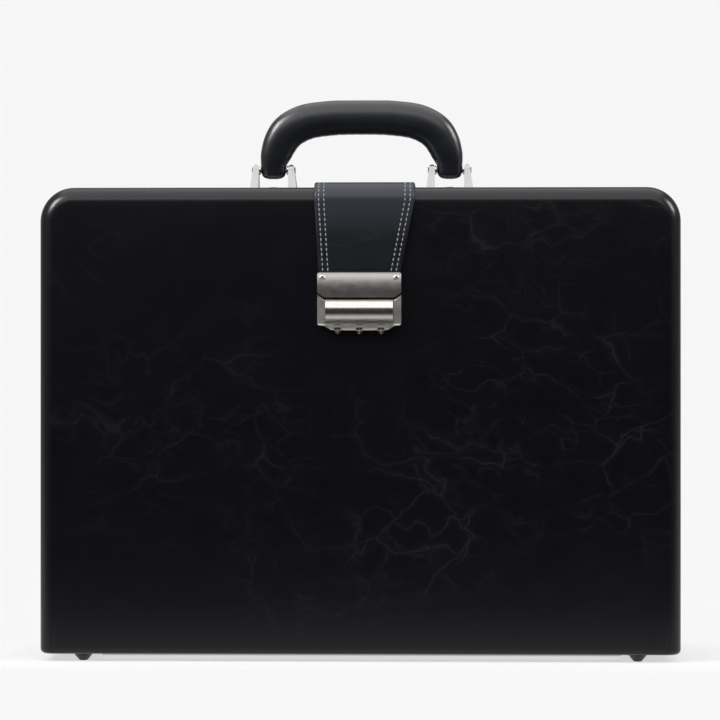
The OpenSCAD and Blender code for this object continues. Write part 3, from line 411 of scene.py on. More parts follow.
def drawn_group():
    """Brushed plating: noise stretched along X makes fine lines; a slow noise makes handling marks."""
    g, t, gi, go = group("drawn metal", {"Lines": 1.0}, ("Height", "Marks"))
    stretch = t.new("ShaderNodeMapping")
    t.link(gi["Vector"], stretch.inputs["Vector"])
    stretch.inputs["Scale"].default_value = (60.0, 5200.0, 5200.0)
    lines = t.noise(stretch.outputs["Vector"], 1.0, 2.0, 0.6)["Fac"]
    t.link(t.math("MULTIPLY", lines, gi["Lines"]), go["Height"])
    t.link(t.noise(gi["Vector"], 240.0, 3.0, 0.6)["Fac"], go["Marks"])
    return g


def weave_group():
    """Plain weave: crossed waves u = sin(k (x + y)) and v = sin(k z) give the height max(u v, -0.8 u v)."""
    g, t, gi, go = group("plain weave", {"Threads": 1500.0}, ("Height", "Tone"))
    at = t.parts(gi["Vector"])
    u = t.math("SINE", t.math("MULTIPLY", t.math("ADD", at["X"], at["Y"]), gi["Threads"]))
    v = t.math("SINE", t.math("MULTIPLY", at["Z"], gi["Threads"]))
    cross = t.math("MULTIPLY", u, v)
    t.link(t.math("MAXIMUM", cross, t.math("MULTIPLY", cross, -0.8)), go["Height"])
    t.link(t.noise(gi["Vector"], 30.0, 4.0, 0.6)["Fac"], go["Tone"])
    return g


GROUPS = {}


def shared(name):
    """Node group by its name; all are made on the first call."""
    if not GROUPS:
        GROUPS.update(hide=hide_group(), drawn=drawn_group(), weave=weave_group())
    return GROUPS[name]


def empty_material(name):
    """Material with an empty tree; returns it, its helper and the socket that takes its surface."""
    m = bpy.data.materials.new(name)
    m.use_nodes = True
    m.node_tree.nodes.clear()
    t = Tree(m.node_tree)
    return m, t, t.new("ShaderNodeOutputMaterial").inputs["Surface"]


def start_material(name):
    """Material with a Principled shader; returns it, its helper and the shader."""
    m, t, surface = empty_material(name)
    bsdf = t.new("ShaderNodeBsdfPrincipled")
    t.link(bsdf.outputs["BSDF"], surface)
    return m, t, bsdf


def coords(t, kind="Object", scale=(1, 1, 1)):
    """The object's own coordinates, or its UV map, times a scale."""
    m = t.new("ShaderNodeMapping")
    t.link(t.new("ShaderNodeTexCoord").outputs[kind], m.inputs["Vector"])
    m.inputs["Scale"].default_value = scale
    return m.outputs["Vector"]


def use_group(t, name, vec, **values):
    """Outputs of a shared group with its vector and numbers set."""
    n = t.new("ShaderNodeGroup")
    n.node_tree = shared(name)
    t.link(vec, n.inputs["Vector"])
    for k, v in values.items():
        n.inputs[k].default_value = v
    return n.outputs


def bump(t, height, strength, distance, bsdf):
    """Relief from a height."""
    b = t.new("ShaderNodeBump")
    b.inputs["Strength"].default_value = strength
    b.inputs["Distance"].default_value = distance
    t.link(height, b.inputs["Height"])
    t.link(b.outputs["Normal"], bsdf.inputs["Normal"])


def shade(colour, k=1.0):
    """Colour times k, with full alpha."""
    return tuple(min(c * k, 1) for c in colour) + (1,)


def worn(t, vec, spots):
    """Soft round hills (x, z, radius, height) over the places where the hide is handled and creased most."""
    at = t.parts(vec)
    most = None
    for x, z, radius, high in spots:
        off = t.far(t.math("SUBTRACT", at["X"], x), t.math("SUBTRACT", at["Z"], z))
        hill = t.ramp(off, radius * 0.5, radius * 1.2, high, 0.0)
        most = hill if most is None else t.math("MAXIMUM", most, hill)
    return t.math("ADD", most, 0.1, clamp=True)


def leather(name, colour, rough=0.45, crease=22.0, patches=6.0, kind="Object", light=0.012, depth=0.0003,
            coat=0.85, gloss=0.26, shine=0.1, spots=(), sheen_band=None):
    """Finished hide: cloudy dye, lighter creases that are a little rougher, and a glazed top coat.
    The last argument, ((low, high), shade), paints sheen: between the two heights the colour turns to that
    lighter shade, and stays so above them."""
    m, t, bsdf = start_material(name)
    vec = coords(t, kind)
    h = use_group(t, "hide", vec, Crease=crease, Patches=patches)
    creases = h["Creases"]
    if spots:
        creases = t.math("MULTIPLY", creases, worn(t, vec, spots))
    base = t.mix_colour(t.ramp(h["Tone"], 0.3, 0.7), shade(colour, 0.8), shade(colour, 1.25))
    base = t.mix_colour(t.ramp(h["Cloud"], 0.48, 0.75), base, shade(colour, 1.6))
    # Painted sheen: lighter colour over the strap's top bend, where the light falls on it.
    if sheen_band:
        heights, sheen_shade = sheen_band
        base = t.mix_colour(t.ramp(t.parts(coords(t))["Z"], *heights), base, sheen_shade)
    rub = tuple(light * k for k in (0.94, 0.98, 1.12)) + (1,)
    base = t.mix_colour(t.math("MULTIPLY", creases, 0.8), base, rub)
    t.link(base, bsdf.inputs["Base Color"])
    r = t.ramp(h["Tone"], 0.25, 0.75, rough - 0.04, rough + 0.05)
    t.link(t.math("MULTIPLY_ADD", creases, 0.1, r, clamp=True), bsdf.inputs["Roughness"])
    bsdf.inputs["Specular IOR Level"].default_value = shine
    t.link(t.ramp(creases, 0.0, 1.0, coat, coat * 0.7), bsdf.inputs["Coat Weight"])
    bsdf.inputs["Coat Roughness"].default_value = gloss
    bump(t, h["Height"], 0.3, depth, bsdf)
    return m


def metal(name, colour, rough, lines=1.0):
    """Plated metal with drawn lines and faint handling marks."""
    m, t, bsdf = start_material(name)
    g = use_group(t, "drawn", coords(t), Lines=lines)
    tone = t.mix_colour(t.ramp(g["Marks"], 0.35, 0.7), shade(colour, 0.95), shade(colour))
    t.link(tone, bsdf.inputs["Base Color"])
    bsdf.inputs["Metallic"].default_value = 1.0
    t.link(t.ramp(g["Marks"], 0.3, 0.75, rough * 0.93, rough * 1.1), bsdf.inputs["Roughness"])
    bump(t, g["Height"], 0.03, 0.00003, bsdf)
    return m


def cloth(name, colour, threads=2600.0):
    """Woven lining."""
    m, t, bsdf = start_material(name)
    g = use_group(t, "weave", coords(t), Threads=threads)
    tone = t.mix_colour(t.ramp(g["Tone"], 0.3, 0.7), shade(colour, 0.92), shade(colour, 1.08))
    t.link(tone, bsdf.inputs["Base Color"])
    t.link(t.ramp(g["Tone"], 0.3, 0.7, 0.8, 0.88), bsdf.inputs["Roughness"])
    bsdf.inputs["Sheen Weight"].default_value = 0.35
    bump(t, g["Height"], 0.5, 0.00012, bsdf)
    return m


def plain(name, colour, slow, fine, tones, rough, relief, scale=(1, 1, 1)):
    """A slow noise between two tones and two roughnesses, a fine noise in the relief. slow, fine = scale,
    detail and roughness of the noises; relief = strength and depth."""
    m, t, bsdf = start_material(name)
    vec = coords(t, scale=scale)
    tone = t.noise(vec, *slow)["Fac"]
    low, high = (shade(colour, k) for k in tones)
    t.link(t.mix_colour(tone, low, high), bsdf.inputs["Base Color"])
    t.link(t.ramp(tone, 0.3, 0.7, *rough), bsdf.inputs["Roughness"])
    bump(t, t.noise(vec, *fine)["Fac"], *relief, bsdf)
    return m


def lacquer(name, colour, rough=0.22):
    """Glossy dark lacquer with a slight orange peel."""
    return plain(name, colour, (70.0, 3.0), (900.0, 2.0), (0.8, 1.25), (rough, rough + 0.1), (0.15, 0.00008))


def yarn(name, colour):
    """Sewing thread with fibres finer than the thread."""
    fibres = (2400.0, 2.0)
    return plain(name, colour, fibres, fibres, (0.7, 1.3), (0.55, 0.75), (0.4, 0.0001))


def board(name, colour):
    """Compressed fibre board."""
    fibres = (400.0, 4.0, 0.7)
    return plain(name, colour, fibres, fibres, (0.7, 1.2), (0.7, 0.9), (0.5, 0.0003), scale=(1, 1, 3))


MATS = {}
# Places (x, z, radius) in metres and strengths of the creases of the panels
WORN = ((0.15, 0.215, 0.15, 1.0), (0.005, 0.145, 0.14, 1.0), (-0.145, 0.144, 0.08, 0.6),
        (-0.2, 0.28, 0.04, 0.5))
# Painted sheen over the strap's top bend: heights in metres between which its colour turns lighter, and the
# shade it reaches
STRAP_SHEEN = ((0.285, 0.315), (0.013, 0.0165, 0.0225, 1))
# Painted shade: the hasp plate has the lock's own plating, darkened by this factor to hold down its
# reflection of the lamps
HASP_SHADE = 0.64


def material(key):
    """Materials are made on first use, from the scene's colour settings."""
    c = bpy.context.scene.briefcase_colours
    if key not in MATS:
        MATS[key] = {
            "hide": lambda: leather("shell hide", tuple(c.hide), shine=0.05, spots=WORN),
            "strap": lambda: leather("strap hide", tuple(c.strap), rough=0.5, kind="UV", crease=30.0,
                                     patches=12.0, light=0.016, coat=0.8, gloss=0.36, sheen_band=STRAP_SHEEN),
            "grip": lambda: leather("grip hide", tuple(c.grip), rough=0.35, kind="UV", crease=30.0,
                                    patches=14.0, light=0.008, depth=0.0002, coat=1.0, gloss=0.3, shine=0.3),
            "pocket": lambda: leather("pocket hide", (0.022, 0.02, 0.019), rough=0.55, crease=30.0,
                                      light=0.05, coat=0.15, gloss=0.4),
            "bright": lambda: metal("bright plate", tuple(c.metal), 0.4),
            "bar": lambda: metal("bar plate", tuple(c.metal), 0.22),
            # Painted shade: the lock's plating made darker for the hasp plate alone.
            "hasp": lambda: metal("hasp plate", tuple(HASP_SHADE * v for v in c.metal), 0.4),
            "satin": lambda: metal("satin plate", (0.72, 0.72, 0.71), 0.42, 0.5),
            # Painted shade: the brackets have their rivets' satin plating, made darker.
            "bracket": lambda: metal("bracket plate", (0.46, 0.46, 0.455), 0.3, 0.5),
            "polish": lambda: metal("polished plate", tuple(c.metal), 0.11, 0.4),
            "steel": lambda: metal("plain steel", (0.5, 0.5, 0.51), 0.32),
            "dark": lambda: metal("dark pin", (0.12, 0.12, 0.125), 0.3),
            "ring": lambda: metal("wheel metal", (0.1, 0.09, 0.07), 0.35, 0.3),
            "black": lambda: lacquer("black lacquer", (0.006, 0.006, 0.007)),
            "stud": lambda: lacquer("stud black", (0.006, 0.006, 0.006), 0.3),
            "lining": lambda: cloth("case lining", tuple(c.lining)),
            "tape": lambda: cloth("elastic tape", (0.012, 0.012, 0.013), 5200.0),
            "thread": lambda: yarn("pale thread", tuple(c.thread)),
            "dim_thread": lambda: yarn("pocket thread", (0.11, 0.105, 0.1)),
            "board": lambda: board("fibre board", (0.26, 0.17, 0.1)),
            "ink": lambda: lacquer("wheel ink", (0.42, 0.38, 0.28), 0.4),
        }[key]()
    return MATS[key]


def dress(obj, key):
    """Gives a piece one material."""
    obj.data.materials.clear()
    obj.data.materials.append(material(key))


def lengths(p):
    """Length along a line of points, from its first point to each."""
    return np.concatenate([[0], np.cumsum(np.linalg.norm(np.diff(p, axis=0), axis=1))])


def strap_path(bend):
    """Outer line of the strap in the Y-Z plane, from its front end over the top to its rear end: straight up
    the front, a quarter circle of radius bend over the front edge, straight over the top, a quarter circle
    over the rear edge and straight down; steps of two millimetres, finer in the bends."""
    yo, yr = float(FLAP_LO[1]), float(BACK_HI[1])
    top = float(FLAP_HI[2])
    segs = [("line", (yo, float(FLAP_LO[2])), (yo, top - bend)), ("arc", (yo + bend, top - bend), 180, 90),
            ("line", (yo + bend, top), (yr - bend, top)), ("arc", (yr - bend, top - bend), 90, 0),
            ("line", (yr, top - bend), (yr, float(BACK_LO[2])))]
    pts, nrm = [], []
    for kind, start, *rest in segs:
        if kind == "line":
            a, b = np.array(start), np.array(rest[0])
            n = max(2, int(np.linalg.norm(b - a) / 0.002))
            d = (b - a) / np.linalg.norm(b - a)
            pts.append(a + (b - a) * np.linspace(0, 1, n)[:, None])
            nrm.append(np.tile([-d[1], d[0]], (n, 1)))
        else:
            a = np.radians(np.linspace(*rest, 18)[1:-1])
            u = np.stack([np.cos(a), np.sin(a)], 1)
            pts.append(np.array(start) + bend * u)
            nrm.append(u)
    p = np.concatenate(pts)
    return p, np.concatenate(nrm), lengths(p)


def strap_edges(p, bend):
    """Middle line and half width: straight over the top, then straight to the narrow ends on both faces. On
    the front the middle line also leans from the middle of the strap's top to the middle of the lock."""
    z_bend = float(FLAP_HI[2]) - bend
    front = p[:, 0] < 0
    k = np.clip((z_bend - p[:, 1]) / (z_bend - np.where(front, HASP_TOP, BACK_LO[2])), 0, 1)
    lean = (BACK_LO[0] + BACK_HI[0]) / 2
    wide = (BACK_HI[0] - BACK_LO[0]) / 2
    return np.where(front, lean * (1 - k), lean), wide + k * (STRAP_END - wide)


class BRIEFCASE_OT_skins(bpy.types.Operator):
    """Leather skins of both halves with rolled edges"""
    bl_idname = "briefcase.skins"
    bl_label = "Leather skins"

    def execute(self, context):
        s = context.scene.briefcase_sizes
        for name, node, body, lo, hi, y_face, y_open in (
                ("lid_skin", "lid_cover", "lid", LID_LO, LID_HI, Y_FRONT, float(LID_HI[1])),
                ("base_skin", "base_cover", "base", BASE_LO, BASE_HI, Y_REAR, float(BASE_LO[1]))):
            obj = loft(name, shell_rings(lo, hi, y_face, y_open, s.corner, s.roll, s.low, s.skin))
            dress(obj, "hide")
            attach(obj, body)
            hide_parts(node)
        return {"FINISHED"}


# Right half of the grip's arch in millimetres from the line of its pins: outer x and z, inner x and z, half
# the thickness. It is drawn for a leg at LEG_X of half width LEG_HALF; the flat bow ends at BOW_X, and the
# legs' ends lie under LEG_Z.
ARCH = np.array([
    [0, 48.8, 0, 24.9, 9.6], [11, 48.75, 9, 24.85, 9.6], [22.3, 48.5, 18, 24.5, 9.5],
    [40, 46.3, 31, 23, 9.4], [53, 41.3, 38.2, 20.8, 9.2], [62.4, 33.9, 43.6, 17.3, 8.8],
    [68.3, 23.8, 47.2, 12.6, 8.2], [71, 13.4, 49.6, 8.4, 7.4], [71.3, 7, 51.7, 5.4, 6.7],
    [71, 3, 52.9, 3, 6.2], [70.9, -1, 53.1, -1, 5.6], [69.8, -4.2, 54.2, -4.2, 4.5],
    [67.6, -5.7, 56.4, -5.7, 3.0], [64.6, -6.3, 59.4, -6.3, 1.3]]) / 1000.0
LEG_X, LEG_HALF, BOW_X, LEG_Z = 0.062, 0.009, 0.04, 0.008


def smooth_rows(rows, steps):
    """Values on a smooth curve through every row: for a row b with neighbours a, c, d the value at t is
    b + t/2 (c - a + t (2a - 5b + 4c - d + t (3 (b - c) + d - a)))."""
    p = np.concatenate([rows[:1], rows, rows[-1:]])
    a, b, c, d = p[:-3], p[1:-2], p[2:-1], p[3:]
    t = (np.arange(steps) / steps)[None, :, None]
    a, b, c, d = (v[:, None, :] for v in (a, b, c, d))
    out = b + 0.5 * t * (c - a + t * (2 * a - 5 * b + 4 * c - d + t * (3 * (b - c) + d - a)))
    return np.concatenate([out.reshape(-1, rows.shape[1]), rows[-1:]])


class BRIEFCASE_OT_handle(bpy.types.Operator):
    """Leather grip: an arch of soft ovals with a sewn seam inside"""
    bl_idname = "briefcase.handle"
    bl_label = "Handle"

    def execute(self, context):
        s = context.scene.briefcase_sizes
        joint = JOINTS["handle_fold"]["pos_m"]
        arch = ARCH.copy()
        for k in (0, 2):
            x = arch[:, k]
            leg = s.leg + (x - LEG_X) * s.leg_half / LEG_HALF
            arch[:, k] = np.where(x < BOW_X, x * s.leg / LEG_X, leg)
        for k in (1, 3):
            arch[:, k] *= np.where(arch[:, k] > LEG_Z, 1.0, s.leg_half / LEG_HALF)
        left = arch[::-1].copy()
        left[:, [0, 2]] *= -1
        rows = smooth_rows(np.concatenate([left[:-1], arch]), 7)
        # each section is an oval |u|^power + |v|^power = 1, a little squarer than an ellipse
        power, girth, seam, pitch, wide = 2.4, 0.0095, 0.00008, 900, 0.5
        a = np.linspace(0, 2 * np.pi, 49)[:-1]
        u, v = np.cos(a), np.sin(a)
        f = (np.abs(u) ** power + np.abs(v) ** power) ** (-1 / power)
        mx, mz = (rows[:, 0] + rows[:, 2]) / 2, (rows[:, 1] + rows[:, 3]) / 2
        hx, hz = (rows[:, 0] - rows[:, 2]) / 2, (rows[:, 1] - rows[:, 3]) / 2
        along = lengths(np.stack([mx, mz], 1))
        x = mx[:, None] + hx[:, None] * f * u
        z = mz[:, None] + hz[:, None] * f * u
        y = rows[:, 4][:, None] * f * v
        wave = seam * np.sin(along * pitch)[:, None] * np.exp(-((a - np.pi) / wide) ** 2)[None, :]
        rings = np.stack([x, y + joint[1], z + joint[2] + wave], 2)
        uv = np.stack([np.broadcast_to(a * girth, x.shape), np.broadcast_to(along[:, None], x.shape)], 2)
        grip = loft("grip_leather", rings, uv)
        dress(grip, "grip")
        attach(grip, "handle")
        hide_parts("handle_grip")
        return {"FINISHED"}


class BRIEFCASE_OT_strap(bpy.types.Operator):
    """Strap leather in one piece over both edges, with its sewing"""
    bl_idname = "briefcase.strap"
    bl_label = "Strap"

    def execute(self, context):
        s = context.scene.briefcase_sizes
        bend = s.roll + s.gap + STRAP_THICK
        p, n, along = strap_path(bend)
        mid, half = strap_edges(p, bend)
        rings, xs = self.sections(p, n, mid, half, s)
        uv = np.stack([xs, np.broadcast_to(along[:, None], xs.shape)], 2)
        strap = loft("strap_leather", rings, uv)
        dress(strap, "strap")
        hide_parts("strap_flap", "strap_back")
        threads = self.sew(p, n, along, mid, half, s)
        dress(threads, "thread")
        for obj in (strap, threads):
            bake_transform(obj)
        return {"FINISHED"}

    @staticmethod
    def sections(p, n, mid, half, s):
        """Rings of the strap and their x: an outer face from edge to edge with a pressed line
        press exp(-((d - row) / line)^2) under each sewing row at the distance d from the edge, round edges,
        and a flat inner face."""
        press, line, drop, edge, slant, tuck = 0.00022, 0.0006, 0.0008, 0.0012, 0.0003, 0.0006
        t = np.full(len(p), STRAP_THICK)
        t[(p[:, 0] < 0) & (p[:, 1] < HASP_TOP - tuck)] = STRAP_THIN
        k = np.concatenate([np.linspace(*span) for span in ((-1, -0.55, 24), (-0.5, 0.5, 9), (0.55, 1, 24))])
        d = (1 - np.abs(k))[None, :] * half[:, None]
        pressed = press * (np.exp(-((d - s.row_a) / line) ** 2) + np.exp(-((d - s.row_b) / line) ** 2))
        outer = -(pressed + drop * np.clip(1 - d / edge, 0, 1) ** 2)
        outer_x = mid[:, None] + half[:, None] * k[None, :]
        inner_x = mid[:, None] + (half[:, None] - slant) * np.linspace(1, -1, 9)[None, :]
        xs = np.concatenate([outer_x, inner_x], 1)
        off = np.concatenate([outer, np.broadcast_to(-t[:, None], inner_x.shape)], 1)
        y, z = (p[:, i][:, None] + n[:, i][:, None] * off for i in (0, 1))
        return np.stack([xs, y, z], 2), xs

    @staticmethod
    def sew(p, n, along, mid, half, s):
        """Stitches: short round rods with tapered ends, sunk half way, one every pitch along four rows."""
        above, below, near, sunk, share = 0.0012, 0.004, 0.001, 0.00018, 0.64
        start = along[np.argmax(p[:, 1] > HASP_TOP + above)]
        pos = np.arange(start, along[-1] - below, s.stitch)
        py, pz, ny, nz, hw, mx = (np.interp(pos, along, v)
                                  for v in (p[:, 0], p[:, 1], n[:, 0], n[:, 1], half, mid))
        norm = np.stack([np.zeros_like(ny), ny, nz], 1)
        parts = []
        for side in (-1, 1):
            edge = mid + side * half
            slope = (np.interp(pos + near, along, edge) - np.interp(pos - near, along, edge)) / (2 * near)
            tang = np.stack([slope, nz, -ny], 1)
            tang /= np.linalg.norm(tang, axis=1)[:, None]
            for row in (s.row_a, s.row_b):
                c = np.stack([mx + side * (hw - row), py, pz], 1) - norm * sunk
                parts.append(stitch_rods(c, tang, norm, s.stitch * share, s.thread))
        return mesh_of("strap_threads", *joined(parts))


# Sewn panels: node, corner radius, distance of the row from the edge, number of boxes side by side
SEWN = (("organiser_panel", 0.008, 0.0022, 1), ("file_pocket", 0.006, 0.002, 1),
        ("card_pockets", 0.003, 0.0016, 3))
BOX_GAP = 0.006


class BRIEFCASE_OT_pockets(bpy.types.Operator):
    """Sewing round the organiser and its pockets"""
    bl_idname = "briefcase.pockets"
    bl_label = "Pocket sewing"

    def execute(self, context):
        s = context.scene.briefcase_sizes
        parts = []
        for node, radius, inset, boxes in SEWN:
            lo, hi = (np.array(v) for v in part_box(node))
            gap = BOX_GAP if boxes > 1 else 0.0
            wide = (hi[0] - lo[0] - gap * (boxes - 1)) / boxes
            for k in range(boxes):
                x0 = lo[0] + k * (wide + gap)
                parts.append(self.round_box(x0 + inset, x0 + wide - inset, lo[2] + inset, hi[2] - inset,
                                            radius - inset, hi[1], s))
        threads = mesh_of("pocket_threads", *joined(parts))
        dress(threads, "dim_thread")
        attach(threads, "lid")
        return {"FINISHED"}

    @staticmethod
    def round_box(x0, x1, z0, z1, r, y, s):
        """Stitches along a rectangle with round corners: straight sides joined by quarter circles."""
        near, wider, share, finer = 0.0005, 1.1, 0.7, 0.7
        a = np.radians(np.linspace(0, 90, 7))
        pts = []
        for cx, cz, turn in ((x1 - r, z1 - r, 0), (x0 + r, z1 - r, 90),
                             (x0 + r, z0 + r, 180), (x1 - r, z0 + r, 270)):
            b = a + np.radians(turn)
            pts.append(np.stack([cx + r * np.cos(b), cz + r * np.sin(b)], 1))
        p = np.concatenate(pts + [pts[0][:1]])
        run = lengths(p)
        pos = np.linspace(0, run[-1], int(run[-1] / (s.stitch * wider)))[:-1]
        x, z = np.interp(pos, run, p[:, 0]), np.interp(pos, run, p[:, 1])
        dx = np.interp((pos + near) % run[-1], run, p[:, 0]) - x
        dz = np.interp((pos + near) % run[-1], run, p[:, 1]) - z
        tang = np.stack([dx, np.zeros_like(dx), dz], 1)
        tang /= np.linalg.norm(tang, axis=1)[:, None]
        out = np.tile([0.0, 1.0, 0.0], (len(pos), 1))
        at = np.stack([x, np.full(len(x), y), z], 1)
        return stitch_rods(at, tang, out, s.stitch * share, s.thread * finer)


class BRIEFCASE_OT_digits(bpy.types.Operator):
    """Ten digits round each number wheel"""
    bl_idname = "briefcase.digits"
    bl_label = "Wheel digits"

    def execute(self, context):
        s = context.scene.briefcase_sizes
        flat = [self.digit(str(k), s.digit) for k in range(10)]
        for node, body in (("dial_left", "left_wheel"), ("dial_centre", "centre_wheel"),
                           ("dial_right", "right_wheel")):
            lo, hi = (np.array(v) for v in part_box(node))
            mid, r = (lo + hi) / 2, (hi[2] - lo[2]) / 2
            parts = [(self.wrap(v, mid, r, np.radians(36 * k)), f) for k, (v, f) in enumerate(flat)]
            obj = mesh_of(node + "_digits", *joined(parts), smooth=False)
            dress(obj, "ink")
            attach(obj, body)
        return {"FINISHED"}

    @staticmethod
    def digit(text, size):
        """Points and faces of one digit, flat, a little thick, centred."""
        curve = bpy.data.curves.new("digit", "FONT")
        curve.body, curve.size, curve.extrude = text, size, 0.00006
        curve.align_x, curve.align_y, curve.resolution_u = "CENTER", "CENTER", 2
        obj = bpy.data.objects.new("digit", curve)
        bpy.context.scene.collection.objects.link(obj)
        bpy.context.view_layer.update()
        me = obj.evaluated_get(bpy.context.evaluated_depsgraph_get()).to_mesh()
        verts = np.zeros(len(me.vertices) * 3)
        me.vertices.foreach_get("co", verts)
        faces = [list(p.vertices) for p in me.polygons]
        verts = verts.reshape(-1, 3)
        bpy.data.objects.remove(obj)
        bpy.data.curves.remove(curve)
        verts[:, :2] -= (verts[:, :2].max(axis=0) + verts[:, :2].min(axis=0)) / 2
        return verts, faces

    @staticmethod
    def wrap(v, mid, r, turn):
        """Point (u, v, w) of the digit goes to the angle v / r + turn round the wheel at the radius r + w."""
        a = v[:, 1] / r + turn
        rr = r + v[:, 2]
        return np.stack([mid[0] + v[:, 0], mid[1] - rr * np.cos(a), mid[2] + rr * np.sin(a)], 1)


class BRIEFCASE_OT_finishes(bpy.types.Operator):
    """Materials of the pieces that come from the frame"""
    bl_idname = "briefcase.finishes"
    bl_label = "Metal, board and lining"

    def execute(self, context):
        for key, names in {
            "board": ("base_core", "lid_core"),
            "lining": ("base_lining", "lid_lining"),
            "black": ("base_frame", "lid_frame"),
            "steel": ("hinge_leaf_base", "hinge_leaf_lid", "hinge_pin", "hinge_rivets_base",
                      "hinge_rivets_lid", "bracket_backplates", "hasp_backplate", "hasp_catch",
                      "lock_chassis", "lock_backplate", "lock_screws", "lock_bolt", "release_springs",
                      "dial_axle", "detent_spring", "stay_pivots_lid", "stay_pins_base"),
            "polish": ("strap_rivets", "handle_washers", "stay_left", "stay_right"),
            "satin": ("bracket_rivets", "hasp_screws"),
            "bracket": ("bracket_left", "bracket_right"),
            "hasp": ("hasp_plate",),
            "bright": ("lock_housing",),
            "bar": ("release_bar",),
            "dark": ("handle_pin_left", "handle_pin_right"),
            "ring": ("dial_left", "dial_centre", "dial_right"),
            "stud": ("feet_lid", "feet_base"),
            "pocket": ("organiser_panel", "file_pocket", "card_pockets"),
            "tape": ("pen_loops",),
            "hide": ("base_cover", "lid_cover"),
            "grip": ("handle_grip",),
            "strap": ("strap_back", "strap_flap"),
        }.items():
            for name in names:
                dress(NODES[name], key)
        return {"FINISHED"}


def sweep_mesh():
    """Flat floor, a quarter circle and an upright back, all one sheet."""
    start, turn, radius, top = -6.0, 1.2, 1.2, 5.0
    a = np.radians(np.linspace(0, 90, 13))[1:]
    prof = [(start, 0.0), (turn, 0.0)]
    prof += [(turn + radius * math.sin(v), radius - radius * math.cos(v)) for v in a]
    prof += [(turn + radius, top)]
    xs = (-5.0, -1.0, 1.0, 5.0)
    n = len(xs)
    v = [(x, y, z) for y, z in prof for x in xs]
    f = [[i * n + j, i * n + j + 1, i * n + j + n + 1, i * n + j + n]
         for i in range(len(prof) - 1) for j in range(n - 1)]
    me = bpy.data.meshes.new("sweep")
    me.from_pydata(v, [], f)
    me.polygons.foreach_set("use_smooth", np.full(len(me.polygons), True))
    return me


def sweep_material():
    """The camera sees the floor as a thin veil over the pale room, thicker round the case, where it shows the
    shadow; an opened half that swings below the floor still shows through it. Reflections see a floor that
    is pale only near the case, because the photo's leather and metal reflect dark surroundings."""
    tone, dark, bright, behind = 0.9, 0.04, 0.72, 0.45
    wide, thick, thin = 0.08, 0.66, 0.985
    m, t, surface = empty_material("pale sweep")
    paper = t.new("ShaderNodeBsdfDiffuse")
    paper.inputs["Color"].default_value = (tone, tone, tone, 1)
    clear = t.new("ShaderNodeBsdfTransparent").outputs[0]
    glow = t.new("ShaderNodeEmission")
    at = t.parts(coords(t))
    near = t.ramp(at["Y"], -0.42, -0.09, dark, bright)
    t.link(t.math("MULTIPLY", near, t.ramp(at["Y"], 0.1, 0.9, 1.0, behind)), glow.inputs["Strength"])
    half_x, half_y = (CAD_BOX[1][0] - CAD_BOX[0][0]) / 2, (Y_REAR - Y_FRONT) / 2
    off_y = t.math("SUBTRACT", at["Y"], (Y_REAR + Y_FRONT) / 2)
    out_x, out_y = (t.math("MAXIMUM", t.math("SUBTRACT", t.math("ABSOLUTE", v), half), 0.0)
                    for v, half in ((at["X"], half_x), (off_y, half_y)))
    veil = t.choose(t.ramp(t.far(out_x, out_y), 0.0, wide, thick, thin), paper.outputs[0], clear)
    ray = t.new("ShaderNodeLightPath").outputs
    look = paper.outputs[0]
    for fac, shader in ((t.shown(), veil), (ray["Is Glossy Ray"], glow.outputs[0]),
                        (ray["Is Shadow Ray"], clear)):
        look = t.choose(fac, look, shader)
    t.link(look, surface)
    return m


def room(s):
    """World: pale to the camera; to all other rays a dim room with lighter sides and a lighter ceiling."""
    world = bpy.data.worlds.new("room")
    world.use_nodes = True
    t = Tree(world.node_tree)
    way = t.parts(t.new("ShaderNodeTexCoord").outputs["Generated"])
    lighter, ceiling = 12, 0.25
    sides = t.ramp(t.math("ABSOLUTE", way["X"]), 0.35, 1.0, s.room, s.room * lighter)
    dim = t.math("MULTIPLY_ADD", t.math("MAXIMUM", way["Z"], 0.0), ceiling, sides)
    back = world.node_tree.nodes["Background"]
    back.inputs["Color"].default_value = (1, 1, 1, 1)
    pale = t.math("SUBTRACT", s.paper, dim)
    t.link(t.math("MULTIPLY_ADD", t.shown(), pale, dim), back.inputs["Strength"])
    return world


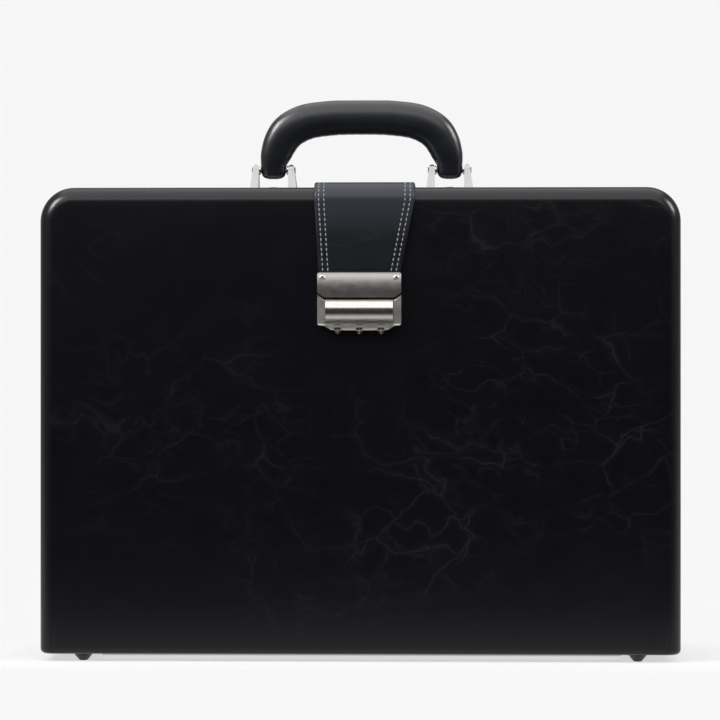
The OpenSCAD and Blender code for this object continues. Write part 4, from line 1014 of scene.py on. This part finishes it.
class BRIEFCASE_OT_studio(bpy.types.Operator):
    """Pale sweep, soft lamps and the camera"""
    bl_idname = "briefcase.studio"
    bl_label = "Studio"

    def execute(self, context):
        s = context.scene.briefcase_studio
        scene = context.scene
        sweep = bpy.data.objects.new("sweep", sweep_mesh())
        scene.collection.objects.link(sweep)
        sweep.data.materials.append(sweep_material())
        scene.world = room(s)
        case = (0, 0, 0.3)
        for name, at, aim, size, power in (
                ("lamp_top", (0.0, -0.25, 1.5), (0.0, -0.25, 0.0), (1.8, 2.1), s.top),
                ("lamp_front", (0.0, -1.05, 0.92), case, (1.4, 0.42), s.front),
                ("lamp_left", (-1.15, -0.8, 1.2), case, (0.45, 0.6), s.left),
                ("lamp_right", (1.4, -0.45, 1.1), case, (0.45, 0.6), s.right)):
            light = bpy.data.lights.new(name, "AREA")
            light.shape = "RECTANGLE"
            light.size, light.size_y = size
            light.energy = power
            o = bpy.data.objects.new(name, light)
            o.location = at
            o.visible_camera = False
            o.rotation_euler = (Vector(aim) - Vector(at)).to_track_quat("-Z", "Y").to_euler()
            scene.collection.objects.link(o)
        cam = bpy.data.cameras.new("photo_camera")
        cam.lens, cam.sensor_width = s.lens, 36.0
        cam.clip_end = 30.0
        o = bpy.data.objects.new("photo_camera", cam)
        o.location = (s.side, Y_FRONT - s.distance, s.eye)
        o.rotation_euler = (math.radians(90), 0, math.atan2(s.side + s.aim, s.distance))
        scene.collection.objects.link(o)
        scene.camera = o
        scene.view_settings.view_transform = "Standard"
        return {"FINISHED"}


STEPS = [BRIEFCASE_OT_finishes, BRIEFCASE_OT_skins, BRIEFCASE_OT_handle, BRIEFCASE_OT_strap,
         BRIEFCASE_OT_pockets, BRIEFCASE_OT_digits, BRIEFCASE_OT_studio]


class BRIEFCASE_PT_panel(bpy.types.Panel):
    """Lists the pieces that can be made"""
    bl_label = "Briefcase"
    bl_space_type = "VIEW_3D"
    bl_region_type = "UI"
    bl_category = "Briefcase"

    def draw(self, context):
        for step in STEPS:
            self.layout.operator(step.bl_idname)
        for settings in ("briefcase_sizes", "briefcase_colours", "briefcase_studio"):
            data = getattr(context.scene, settings)
            for name in data.bl_rna.properties.keys():
                if name not in ("rna_type", "name"):
                    self.layout.prop(data, name)


GROUPED = [CaseSizes, CaseColours, StudioSettings]


def register():
    for c in GROUPED + STEPS + [BRIEFCASE_PT_panel]:
        bpy.utils.register_class(c)
    bpy.types.Scene.briefcase_sizes = PointerProperty(type=CaseSizes)
    bpy.types.Scene.briefcase_colours = PointerProperty(type=CaseColours)
    bpy.types.Scene.briefcase_studio = PointerProperty(type=StudioSettings)


def unregister():
    del bpy.types.Scene.briefcase_studio, bpy.types.Scene.briefcase_colours, bpy.types.Scene.briefcase_sizes
    for c in reversed(GROUPED + STEPS + [BRIEFCASE_PT_panel]):
        bpy.utils.unregister_class(c)


def main():
    register()
    for step in STEPS:
        family, op = step.bl_idname.split(".")
        getattr(getattr(bpy.ops, family), op)()


if __name__ == "__main__":
    main()
